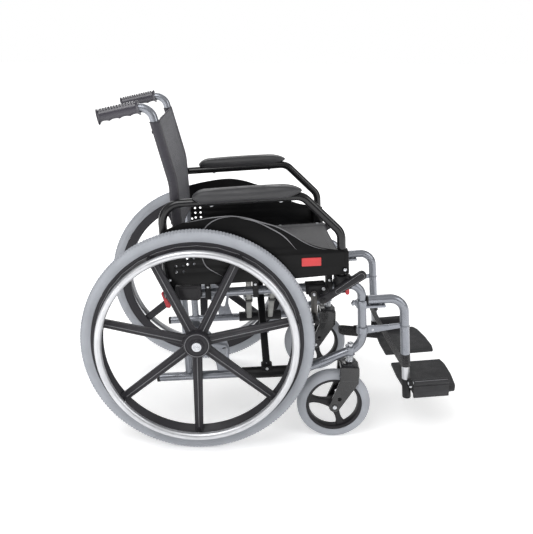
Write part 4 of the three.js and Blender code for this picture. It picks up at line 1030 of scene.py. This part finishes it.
def hanger(add):
    line = filleted([(452, HANGER_TOP_V), (HANGER_BEND_U, HANGER_TOP_V, 40), HANGER_END], step=4)
    bow = sweep(in_plane(line, FRAME_Y), circle(HANGER_R, 32))
    parts = [bow]
    for span in HANGER_RINGS:
        ends = [(FRONT_POST_U, FRAME_Y, v) for v in span]
        parts.append(rod(*ends, 15.2, 1.4, 40, bore=TUBE_R + 0.4))
    shelf = box((446, 500), (FRAME_Y - 13, FRAME_Y + 13), (44, 51), 2)
    lug = box((FRONT_POST_U - 17.2, FRONT_POST_U - 10), (FRAME_Y - 4, FRAME_Y + 4), (47, 63), 2)
    pin = rod((FRONT_POST_U - 17.5, FRAME_Y, 49), (FRONT_POST_U - 17.5, FRAME_Y, 66), 1.4, 0.4, 12)
    strut_line = [(448, -32, 3), (492, -27, 30), (540.5, -21, 3), (540.5, -8, 3), (492, -11, 30),
                  (448, -10, 3)]
    strut = slab(strut_line, FRAME_Y - 4, FRAME_Y + 4, 1.5)
    weld = ring((HANGER_BEND_U + 1.6, FRAME_Y, -15), (0.04, 0, 1), HANGER_R + 0.7, 1)
    parts += [shelf, lug, pin, strut, weld]
    add("hanger_tube", joined(*parts), RAKED, GREY_LACQUER, "hanger", "frame_grey", "hanger")
    plug = rod((450.5, FRAME_Y, HANGER_TOP_V), (455.5, FRAME_Y, HANGER_TOP_V), HANGER_R + 0.3, 1.5)
    add("hanger_plug", plug, RAKED, PLASTIC, "hanger", "black_plastic")
    screws = [dome((466, FRAME_Y + s * 4, -21), (0, s, 0), 4, 2.6) for s in (-1, 1)]
    screws += [dome((u, FRAME_Y, 51), (0, 0, 1), 4, 2) for u in (458, 488)]
    add("hanger_screws", joined(*screws), RAKED, ZINC, "hanger", "zinc")
    latch_line = [(FRONT_POST_U - 19, 65, 2), (FRONT_POST_U - 23, 64, 2), (FRONT_POST_U - 29, 55, 4),
                  (FRONT_POST_U - 25, 49, 3), (FRONT_POST_U - 19, 54, 2)]
    latch = slab(latch_line, FRAME_Y - 6, FRAME_Y + 6, 1.8)
    add("hanger_latch_lever", latch, RAKED, GREY_LACQUER, "hanger_latch", "frame_grey", "hanger_latch")


def foot(add):
    y = FRAME_Y
    tube = rod((0, y, -76), (0, y, 70), FOOT_TUBE_R, 0.8)
    add("foot_post", tube, FOOT, ALUMINIUM, "foot_tube", "aluminium", "foot_tube")
    shoe = rod((0, y, -131), (0, y, -74), 11.3, 2)
    ear = box((3, 13.5), (y - 5, PLATE_HINGE_Y - 4), (FLAP_Q - 14, FLAP_Q + 5), 2)
    lug = rod((2.5, PLATE_HINGE_Y, FLAP_Q), (13.5, PLATE_HINGE_Y, FLAP_Q), 8.5, 1.5)
    fin = box((-6, 6), (y - 3, y + 3), (-131, -118), 2)
    add("foot_bracket", joined(shoe, ear, lug, fin), FOOT, PLASTIC, "foot_tube", "black_plastic")
    screws = [dome((8, PLATE_HINGE_Y - 1, FLAP_Q - 11), (0.2, 1, 0), 4, 3),
              dome((2.5, PLATE_HINGE_Y, FLAP_Q), (-1, 0, 0), 4.4, 2.6),
              rod((8, PLATE_HINGE_Y, FLAP_Q), (FLAP_P[1] - 5, PLATE_HINGE_Y, FLAP_Q), 4)]
    add("foot_screws", joined(*screws), FOOT, ZINC, "foot_tube", "zinc")


def footplate(add):
    deck_line = [(-3, 31, 5), (141, 31, 5), (146, 60, 60), (144, 120, 60), (136, 180, 30), (127, 201, 6),
                 (105, 204, 3), (FLAP_P[0], 204, 3), (FLAP_P[0], 178, 6), (-2, 174, 8), (-5, 100, 60)]
    deck = flat(slab(deck_line, PLATE_TOP_Q - 10, PLATE_TOP_Q - 0.7, 2.6))
    inset_line = [(5, 38, 4), (134, 38, 4), (138, 62, 50), (136, 120, 50), (128, 176, 24), (120, 192, 6),
                  (22, 192, 5), (20, 168, 8), (6, 164, 8), (3, 100, 50)]
    inset = flat(slab(inset_line, PLATE_TOP_Q - 3, PLATE_TOP_Q, 0.7))
    wall_line = [(200.5, PLATE_TOP_Q - 18, 2), (208, PLATE_TOP_Q - 18, 2), (211, PLATE_TOP_Q - 2, 8),
                 (210.5, FLAP_Q - 8, 10), (208, FLAP_Q, 2), (200.5, FLAP_Q - 3, 2)]
    wall = across(slab(wall_line, *FLAP_P, 1))
    roll = rod((FLAP_P[0], PLATE_HINGE_Y, FLAP_Q), (FLAP_P[1], PLATE_HINGE_Y, FLAP_Q), 7.8, 1.5, 40, bore=4.3)
    line_y, line_q = PLATE_HINGE_Y + 1.2, FLAP_Q - 12
    groove = rod((FLAP_P[0] + 1, line_y, line_q), (FLAP_P[1] - 1, line_y, line_q), 2.6, 1)
    web_line = [(150, PLATE_TOP_Q - 11, 1), (200, PLATE_TOP_Q - 11, 1), (200, PLATE_TOP_Q - 17, 3),
                (190, PLATE_TOP_Q - 17, 4)]
    webs = [across(slab(web_line, p, p + 3, 0.8)) for p in (30, 60, 90)]
    # Painted highlight: a thin light-grey line along the top of the hinge roll.
    crest_y, crest_q = PLATE_HINGE_Y + 5, FLAP_Q + 5.8
    crest = rod((FLAP_P[0] + 3, crest_y, crest_q), (FLAP_P[1] - 3, crest_y, crest_q), 0.7, 0.2, 8)
    add("foot_deck_edge", crest, FOOT, PAINTED_HIGHLIGHT_GREY, "footplate", "black_plastic")
    add("foot_deck", joined(deck, inset, wall, roll, groove, *webs), FOOT, PLATE_PLASTIC, "footplate",
        "black_plastic", "footplate", sharp=32)


# ---------------------------------------------------------------- cloth and webbing
def ribbon(path, width, thick):
    """A flat strap along a path, its width upright and its edges slightly rounded."""
    path = [Vector(point) for point in path]
    wide = Vector((0, 0, 1))
    half, crown = width / 2, thick / 2
    flat_half, lip = half - thick * 0.6, crown * 0.4
    section = [(-half, -lip), (-flat_half, -crown), (flat_half, -crown), (half, -lip),
               (half, lip), (flat_half, crown), (-flat_half, crown), (-half, lip)]
    rings = []
    for i, point in enumerate(path):
        ahead = (path[min(i + 1, len(path) - 1)] - path[max(i - 1, 0)]).normalized()
        out = ahead.cross(wide).normalized()
        rings.append([point + wide * a + out * b for a, b in section])
    return skin(rings)


def cloth_uv(obj, axes):
    """Gives a piece cloth coordinates in metres, measured along two directions of the whole chair."""
    layer = obj.data.uv_layers.new(name="cloth")
    first, second = (Vector(axis).normalized() for axis in axes)
    for loop in obj.data.loops:
        point = obj.data.vertices[loop.vertex_index].co
        layer.data[loop.index].uv = (point.dot(first), point.dot(second))


def calf_strap(add):
    """Half of the strap, from a collar round the foot tube to the middle of the chair."""
    top, bottom = -0.3, -STRAP_WIDTH
    collar = rod((0, FRAME_Y, bottom), (0, FRAME_Y, top), COLLAR_R, 1.2, 40, bore=FOOT_TUBE_R + 0.3)
    lip = ring((0, FRAME_Y, bottom + 1), (0, 0, 1), COLLAR_R - 0.4, 0.9)
    collar = add("calf_strap_collar", joined(collar, lip), FOOT, WEBBING, "hanger", "webbing", "calf_strap")
    cloth_uv(collar, ((0, 1, 0), (0, 0, 1)))
    middle = (top + bottom) / 2
    steps = 24
    path = []
    for i in range(steps + 1):
        y = 0.3 + (FRAME_Y - 4) * i / steps
        path.append((-COLLAR_R + 0.8 - 3 * math.sin(math.pi * i / steps / 2 + math.pi / 2), y, middle))
    band = add("calf_strap_band", ribbon(path, STRAP_WIDTH - 1, 2.2), FOOT, WEBBING, "hanger", "webbing")
    cloth_uv(band, ((0, 1, 0), (0, 0, 1)))
    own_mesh(band)


def crumple_heel_strap(obj):
    """Gives the strap or its buckle its own copy of its mesh."""
    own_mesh(obj)


def heel_loop():
    """The left heel strap: out and back as a flat loop, with a slide buckle."""
    y0, y1, back, front = 130, 166, -106, -6

    def level(p):
        return -98.9 + 0.194 * (front - p)

    line = filleted([(front, y1), (back - 18, y1, 17), (back - 18, y0, 17), (front, y0)], step=12)
    line = [(p, y, level(p)) for p, y in line]
    made = piece("left_heel_strap", ribbon(line, 19, 2), FOOT, WEBBING, "left_footplate",
                 ["left_heel_loop"])
    cloth_uv(made, ((1, 1, 0), (0, 0, 1)))
    crumple_heel_strap(made)
    middle = level(-58)
    span = (y1 - 3, y1 + 4)
    bars = [box((p - 2, p + 2), span, (middle - 13, middle + 13), 1.2) for p in (-71, -58, -45)]
    rails = [box((-73, -43), span, (middle + q - 2, middle + q + 2), 1.2) for q in (-12, 12)]
    buckle = piece("left_heel_buckle", joined(*bars, *rails), FOOT, PLASTIC, "left_footplate")
    crumple_heel_strap(buckle)


def sheet_grid(across_steps, along_steps, point, thick):
    """A cloth of even thickness from point(s, t), with s and t from 0 to 1."""
    grid = [[Vector(point(i / across_steps, j / along_steps)) for i in range(across_steps + 1)]
            for j in range(along_steps + 1)]
    front, back = [], []
    for j, row in enumerate(grid):
        for i, here in enumerate(row):
            left, right = row[max(i - 1, 0)], row[min(i + 1, across_steps)]
            below, above = grid[max(j - 1, 0)][i], grid[min(j + 1, along_steps)][i]
            normal = (right - left).cross(above - below).normalized()
            front.append(here + normal * thick / 2)
            back.append(here - normal * thick / 2)
    points = front + back
    faces = []
    row, half = across_steps + 1, len(front)
    for j in range(along_steps):
        for i in range(across_steps):
            a = j * row + i
            faces.append((a, a + 1, a + row + 1, a + row))
            faces.append((half + a + row, half + a + row + 1, half + a + 1, half + a))
    edge = [i for i in range(row)] + [j * row + across_steps for j in range(1, along_steps + 1)]
    edge += [along_steps * row + i for i in range(across_steps - 1, -1, -1)]
    edge += [j * row for j in range(along_steps - 1, 0, -1)]
    for a, b in zip(edge, edge[1:] + edge[:1]):
        faces.append((b, a, half + a, half + b))
    return points, faces


STITCH_GAP = 6.5
STITCH_LENGTH = 4.2
STITCH_R = 0.5


def stitch_row(points):
    """A row of stitches along a line of points, each fuller in its middle."""
    def section(share):
        return circle(STITCH_R * (0.5 + 2 * share * (1 - share)), 5)

    stitches, walked, pen = [], 0.0, 0.0
    for a, b in zip(points, points[1:]):
        span = (b - a).length
        while pen < walked + span:
            start = a + (b - a) * ((pen - walked) / span)
            end = start + (b - a).normalized() * STITCH_LENGTH
            stitches.append(sweep([start, (start + end) / 2, end], section))
            pen += STITCH_GAP
        walked += span
    return joined(*stitches)


def stitched(point, lift, rows):
    """Rows of stitches across a sling at the given shares, and one beside each of its side edges."""
    lines = [stitch_row([Vector(point(i / 40, t)) + Vector(lift) for i in range(41)]) for t in rows]
    lines += [stitch_row([Vector(point(s, i / 30)) + Vector(lift) for i in range(31)]) for s in (0.03, 0.97)]
    return joined(*lines)


BACK_V = (244, 570)
SLING_THICK = 2.4
SLEEVE_R = CANE_R + 1.9


def cane_line(v):
    """The back cane's centre u at a height v."""
    start = CANE_BEND_V - CANE_BEND_R * math.tan(CANE_LEAN / 2)
    if v <= start:
        return REAR_POST_U
    end = CANE_BEND_V + CANE_BEND_R * math.tan(CANE_LEAN / 2) * math.cos(CANE_LEAN)
    if v >= end:
        return REAR_POST_U - (v - CANE_BEND_V) * math.tan(CANE_LEAN)
    turn = math.asin((v - start) / CANE_BEND_R)
    return REAR_POST_U - CANE_BEND_R * (1 - math.cos(turn))


def back_sleeve(add):
    """The sling's hem, sewn into a sleeve round the cane."""
    v0, v1 = BACK_V
    steps = 60
    sides = 40

    def section(share):
        return circle(SLEEVE_R + 0.5 * noise.noise((share * 9, 0.3, 0)), sides)

    heights = [v0 + (v1 - v0) * i / steps for i in range(steps + 1)]
    line = [(cane_line(v), FRAME_Y, v) for v in heights]
    outer = sweep(line, section, caps=False)
    inner = sweep(line, circle(CANE_R + 0.35, sides), caps=False)
    size = len(outer[0])
    tube = joined(outer, inner)
    for base in (0, size - sides):
        for j in range(sides):
            k = (j + 1) % sides
            tube[1].append((base + j, base + k, size + base + k, size + base + j))
    made = add("back_sleeve", tube, RAKED, HEM_CLOTH, "frame", "sling", sharp=50)
    cloth_uv(made, ((1, 1, 0), (0, 0, 1)))
    hems = [ring((cane_line(v), FRAME_Y, v), (0, 0, 1), SLEEVE_R - 0.2, 1.1) for v in (v0 + 1, v1 - 1)]
    add("back_sleeve_hems", joined(*hems), RAKED, THREAD, "frame", "sling")
    screws = []
    for v in (v1 - 26, v0 + 62):
        screws.append(dome((cane_line(v) - SLEEVE_R + 0.4, FRAME_Y, v), (-1, 0, -0.2), 4.2, 2.8))
    add("back_screws", joined(*screws), RAKED, BLACK_STEEL, "frame", "black_metal")


def back_panel():
    """The sling between the sleeves: it hangs back a little, with a turned hem above and below."""
    v0, v1 = BACK_V
    edge = FRAME_Y - 8

    def point(s, t):
        y, v = -edge + 2 * edge * s, v0 + (v1 - v0) * t
        hang = 1 - (2 * s - 1) ** 4
        u = cane_line(v) + SLEEVE_R - 2.2 - hang * (9 + 3 * math.sin(math.pi * t))
        pucker = 1.6 * noise.noise((y * 0.03, v * 0.009, 1.7)) * (1 + abs(2 * s - 1) ** 6)
        sag = -5 * hang * t ** 3 + 3 * hang * (1 - t) ** 3
        return u + pucker, y, v + sag

    panel = piece("back_panel", sheet_grid(72, 60, point, SLING_THICK), RAKED, BACK_CLOTH, "right_frame",
                  ["backrest_sling"], sharp=60)
    cloth_uv(panel, ((0, 1, 0), (0, 0, 1)))
    squash_back(panel)
    hems = []
    for t in (0.006, 0.994):
        line = [Vector(point(i / 60, t)) for i in range(61)]
        hems.append(sweep(line, circle(1.9, 10)))
    seams = stitched(point, (1.3, 0, 0), (0.06, 0.94))
    squash_back(piece("back_hem", joined(*hems), RAKED, THREAD, "right_frame"))
    squash_back(piece("back_stitching", seams, RAKED, THREAD, "right_frame"))


def squash_back(obj):
    """Gives the piece its own copy of its mesh."""
    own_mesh(obj)


SEAT_U = (0, 400)
SEAT_EDGE_Y = FRAME_Y - 18


def seat_sling():
    u0, u1 = SEAT_U
    top = SEAT_TUBE_V + SEAT_TUBE_R + 1.6

    def point(s, t):
        y, u = -SEAT_EDGE_Y + 2 * SEAT_EDGE_Y * s, u0 + (u1 - u0) * t
        hang = 1 - (2 * s - 1) ** 4
        front = 3 * max(0.0, t - 0.93) / 0.07
        crease = 0.9 * noise.noise((y * 0.03, u * 0.012, 4.1))
        return u, y, top - hang * 7 + crease * hang - front

    panel = piece("seat_panel", sheet_grid(72, 60, point, SLING_THICK), RAKED, SEAT_CLOTH, "seat",
                  ["seat_sling"], sharp=60)
    cloth_uv(panel, ((0, 1, 0), (1, 0, 0)))
    squash_seat(panel)
    hems = []
    for t in (0.004, 0.996):
        hems.append(sweep([Vector(point(i / 60, t)) for i in range(61)], circle(1.9, 10)))
    seams = stitched(point, (0, 0, 1.35), (0.05, 0.95))
    squash_seat(piece("seat_hem", joined(*hems), RAKED, THREAD, "seat"))
    squash_seat(piece("seat_stitching", seams, RAKED, THREAD, "seat"))
    for side, body, mirror in (("left", "brace_a", 1), ("right", "brace_b", -1)):
        seat_edge(side, body, mirror)


def squash_seat(obj):
    """Gives the piece its own copy of its mesh."""
    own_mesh(obj)


def seat_edge(side, body, mirror):
    """The sling's edge, folded over its seat tube and screwed down to it."""
    u0, u1 = SEAT_U
    radius = SEAT_TUBE_R + 1.6

    def point(s, t):
        u = u0 + (u1 - u0) * t
        flat_part = 0.45
        if s < flat_part:
            return u, SEAT_EDGE_Y - 3 + (FRAME_Y - SEAT_EDGE_Y + 3) * s / flat_part, SEAT_TUBE_V + radius
        angle = math.pi / 2 - (s - flat_part) / (1 - flat_part) * math.radians(100)
        return u, FRAME_Y + radius * math.cos(angle), SEAT_TUBE_V + radius * math.sin(angle)

    strip = piece(f"{side}_seat_edge", sheet_grid(24, 60, point, SLING_THICK), RAKED, SEAT_CLOTH, body,
                  (), 60, mirror)
    cloth_uv(strip, ((0, 1, 1), (1, 0, 0)))
    screws = [dome((u, FRAME_Y, SEAT_TUBE_V + radius + 1), (0, 0, 1), 5, 2.6) for u in (22, 141, 260, 378)]
    piece(f"{side}_seat_screws", joined(*screws), RAKED, ZINC, body, mirror=mirror)
    row = [Vector(point(0.30, i / 40)) + Vector((0, 0, 1.35)) for i in range(41)]
    piece(f"{side}_seat_seam", stitch_row(row), RAKED, THREAD, body, mirror=mirror)


# ---------------------------------------------------------------- cross-brace
SLEEVE_U = (112, 250)
BRACE_SLEEVE_R = 15.5
SEAT_TUBE_U = (-8, 398)
ARM_A_U = 180
ARM_B_U = (145, 214)
CROSS_BOLT_R = 4


def brace_point(share, u, out=0.0):
    """A point on a brace arm's line from the lower rail at -Y to the seat tube at +Y, moved out across it."""
    start, end = Vector((u, -FRAME_Y, LOWER_V)), Vector((u, FRAME_Y, SEAT_TUBE_V))
    across_arm = Vector((0, -math.sin(BRACE_ANGLE), math.cos(BRACE_ANGLE)))
    return start.lerp(end, share) + across_arm * out


def brace(name, mirror, stations, width, depth, material):
    """A brace: its arms, the sleeve that turns on the lower rail, and the seat tube on top."""
    def part(suffix, shape, finish, replaces=(), sharp=SHARP):
        piece(f"{name}_{suffix}", shape, RAKED, finish, name, replaces, sharp, mirror)

    arms = []
    for u in stations:
        line = [brace_point(0.032 + 0.941 * i / 30, u) for i in range(31)]
        arms.append(sweep(line, lambda t: rounded_rectangle(depth + 5 * (2 * t - 1) ** 10, width, 3)))
        toe = [brace_point(0.955 + 0.02 * k, u) for k in (-1, 0, 1)]
        arms.append(sweep(toe, rounded_rectangle(depth + 7, width + 6, 4)))
    part("arm", joined(*arms), material, [name], 32)
    ends = [(u, -FRAME_Y, LOWER_V) for u in SLEEVE_U]
    sleeve = rod(*ends, BRACE_SLEEVE_R, 1.4, 40, bore=TUBE_R + 0.3)
    lips = [ring((u, -FRAME_Y, LOWER_V), (1, 0, 0), BRACE_SLEEVE_R - 0.6, 1.5)
            for u in (SLEEVE_U[0] + 2, SLEEVE_U[1] - 2)]
    blocks = []
    for u in stations:
        blocks.append(box((u - width / 2 - 5, u + width / 2 + 5), (-FRAME_Y - 12, -FRAME_Y + 21),
                          (LOWER_V + 8, LOWER_V + 22), 4))
    part("sleeve", joined(sleeve, *lips, *blocks), PLASTIC)
    ends = [(u, FRAME_Y, SEAT_TUBE_V) for u in SEAT_TUBE_U]
    part("seat_tube", rod(*ends, SEAT_TUBE_R, 0.6, 40), GREY_LACQUER)
    plugs = [rod((u, FRAME_Y, SEAT_TUBE_V), (u + 5, FRAME_Y, SEAT_TUBE_V), SEAT_TUBE_R + 0.5, 1.6)
             for u in (SEAT_TUBE_U[0] - 2, SEAT_TUBE_U[1] - 3)]
    part("seat_plugs", joined(*plugs), PLASTIC)
    inwards = (0, math.sin(BRACE_ANGLE), -math.cos(BRACE_ANGLE))
    screws = []
    for u in stations:
        screws.append(dome((u, -FRAME_Y + 10, LOWER_V + 21.6), (0, 0, 1), 5, 3))
        screws.append(dome((u, -FRAME_Y - 11.6, LOWER_V + 15), (0, -1, 0), 4.2, 2.6))
        screws.append(dome(brace_point(0.945, u, -depth / 2 - 3.2), inwards, 4.4, 2.6))
    part("screws", joined(*screws), ZINC)


def cross_brace():
    brace("brace_a", 1, [ARM_A_U], 20, 26, BLACK_STEEL)
    brace("brace_b", -1, ARM_B_U, 16, 16, FLAT_STEEL)
    clamps = []
    for u in ARM_B_U:
        line = [brace_point(0.46 + 0.022 * k, u) for k in (-1, 0, 1)]
        clamps.append(sweep(line, rounded_rectangle(20, 22, 4)))
    piece("brace_b_clamps", joined(*clamps), RAKED, PLASTIC, "brace_b", mirror=-1)
    ends = (ARM_B_U[0] - 11, ARM_B_U[1] + 11)
    bolt = [rod((ends[0] - 3, 0, BRACE_MID_V), (ends[1] + 3, 0, BRACE_MID_V), CROSS_BOLT_R),
            dome((ends[0] - 1.6, 0, BRACE_MID_V), (-1, 0, 0), 8, 4.4),
            rod((ends[0] - 1.6, 0, BRACE_MID_V), (ends[0], 0, BRACE_MID_V), 9.5, 0.4),
            rod((ends[1], 0, BRACE_MID_V), (ends[1] + 1.6, 0, BRACE_MID_V), 9.5, 0.4),
            rod((ends[1] + 1.6, 0, BRACE_MID_V), (ends[1] + 8, 0, BRACE_MID_V), 7.6, 1, 6)]
    piece("cross_bolt_set", joined(*bolt), RAKED, ZINC, "brace_a", ["cross_bolt"])


# ---------------------------------------------------------------- camera, light and floor
CAMERA_PLACE = (0.063 + AXLE_X / 1000, -1.800, 1.049)
CAMERA_YAW = math.radians(-1.76)
CAMERA_PITCH = math.radians(14.44)
CAMERA_ROLL = math.radians(0.22)
CAMERA_LENS = 43.52
CAMERA_SHIFT = (0.118, -0.101)
SKY_STRENGTH = 0.5
SKY_DARK = (0.10, 0.10, 0.11, 1)
WHITE = (1, 1, 1, 1)


def put_camera():
    data = bpy.data.cameras.new("camera")
    camera = bpy.data.objects.new("camera", data)
    bpy.context.scene.collection.objects.link(camera)
    level = math.cos(CAMERA_PITCH)
    ahead = Vector((math.sin(CAMERA_YAW) * level, math.cos(CAMERA_YAW) * level, -math.sin(CAMERA_PITCH)))
    side = ahead.cross(Vector((0, 0, 1))).normalized()
    up = side.cross(ahead)
    right = side * math.cos(CAMERA_ROLL) + up * math.sin(CAMERA_ROLL)
    above = up * math.cos(CAMERA_ROLL) - side * math.sin(CAMERA_ROLL)
    turn = Matrix((right, above, -ahead)).transposed().to_4x4()
    camera.matrix_world = Matrix.Translation(CAMERA_PLACE) @ turn
    data.sensor_width = 36
    data.lens = CAMERA_LENS
    data.shift_x, data.shift_y = CAMERA_SHIFT
    bpy.context.scene.camera = camera


def put_sky():
    """White behind the chair, but it lights it as a studio does: bright above and dark below."""
    world = bpy.data.worlds.new("world")
    bpy.context.scene.world = world
    world.use_nodes = True
    tree = world.node_tree
    tree.nodes.clear()
    seen, lit = (tree.nodes.new("ShaderNodeBackground") for _ in range(2))
    seen.inputs["Color"].default_value = WHITE
    lit.inputs["Strength"].default_value = SKY_STRENGTH
    ramp = tree.nodes.new("ShaderNodeValToRGB")
    for stop, colour, position in zip(ramp.color_ramp.elements, (SKY_DARK, WHITE), (0.52, 0.72)):
        stop.color = colour
        stop.position = position
    place = tree.nodes.new("ShaderNodeTexCoord")
    height = tree.nodes.new("ShaderNodeSeparateXYZ")
    tree.links.new(place.outputs["Generated"], height.inputs[0])
    share = tree.nodes.new("ShaderNodeMath")
    share.operation = "MULTIPLY_ADD"
    share.inputs[1].default_value = share.inputs[2].default_value = 0.5
    tree.links.new(height.outputs["Z"], share.inputs[0])
    tree.links.new(share.outputs[0], ramp.inputs[0])
    tree.links.new(ramp.outputs[0], lit.inputs["Color"])
    path = tree.nodes.new("ShaderNodeLightPath")
    mix = tree.nodes.new("ShaderNodeMixShader")
    tree.links.new(path.outputs["Is Camera Ray"], mix.inputs[0])
    tree.links.new(lit.outputs[0], mix.inputs[1])
    tree.links.new(seen.outputs[0], mix.inputs[2])
    output = tree.nodes.new("ShaderNodeOutputWorld")
    tree.links.new(mix.outputs[0], output.inputs["Surface"])
    bpy.context.scene.view_settings.view_transform = "Standard"


def put_floor():
    mesh = bpy.data.meshes.new("floor")
    mesh.from_pydata([(-40, -40, 0), (40, -40, 0), (40, 40, 0), (-40, 40, 0)], [], [(0, 1, 2, 3)])
    floor = bpy.data.objects.new("floor", mesh)
    bpy.context.scene.collection.objects.link(floor)
    paint = Nodes("floor_paint")
    paint.shader.inputs["Roughness"].default_value = 0.85
    paint.shader.inputs["Base Color"].default_value = (0.95, 0.95, 0.95, 1)
    paint.shader.inputs["Emission Color"].default_value = WHITE
    away = paint.add("ShaderNodeVectorMath", {0: paint.place}, operation="LENGTH").outputs["Value"]
    # Painted light: the floor glows, faintly near the chair and almost white from 2.2 m out, fading into the
    # white backdrop.
    paint.join(paint.ramp(away, 0.4, 2.2, 0.36, 0.9), "Emission Strength")
    mesh.materials.append(paint.material)


def softbox(name, place, target, size, power):
    data = bpy.data.lights.new(name, "AREA")
    data.shape = "RECTANGLE"
    data.size, data.size_y = size
    data.energy = power
    light = bpy.data.objects.new(name, data)
    light.location = place
    light.rotation_euler = (Vector(target) - Vector(place)).to_track_quat("-Z", "Y").to_euler()
    bpy.context.scene.collection.objects.link(light)


# ---------------------------------------------------------------- the whole chair
put_camera()
softbox("key", (-0.9, -1.6, 2.6), (0.0, 0.0, 0.45), (1.6, 1.6), 34)
softbox("front", (2.2, -1.3, 1.5), (0.1, 0.0, 0.4), (1.2, 1.8), 19)
softbox("back", (-0.4, 2.3, 2.2), (0.0, 0.0, 0.5), (2.4, 1.2), 25)
softbox("low", (-2.0, -1.8, 0.7), (0.0, 0.0, 0.3), (0.9, 1.6), 8)
put_sky()
put_floor()
for side in ("left", "right"):
    add = maker(side)
    for build in (side_frame, back_cane, armrest, arm_pad, front_socket, armrest_hinge, releases,
                  brake_bracket, brake_lever, brake_arm, main_wheel, tyre, hand_rim, axle, caster, hanger,
                  foot, footplate, back_sleeve, calf_strap):
        build(add)
heel_loop()
cross_brace()
back_panel()
seat_sling()
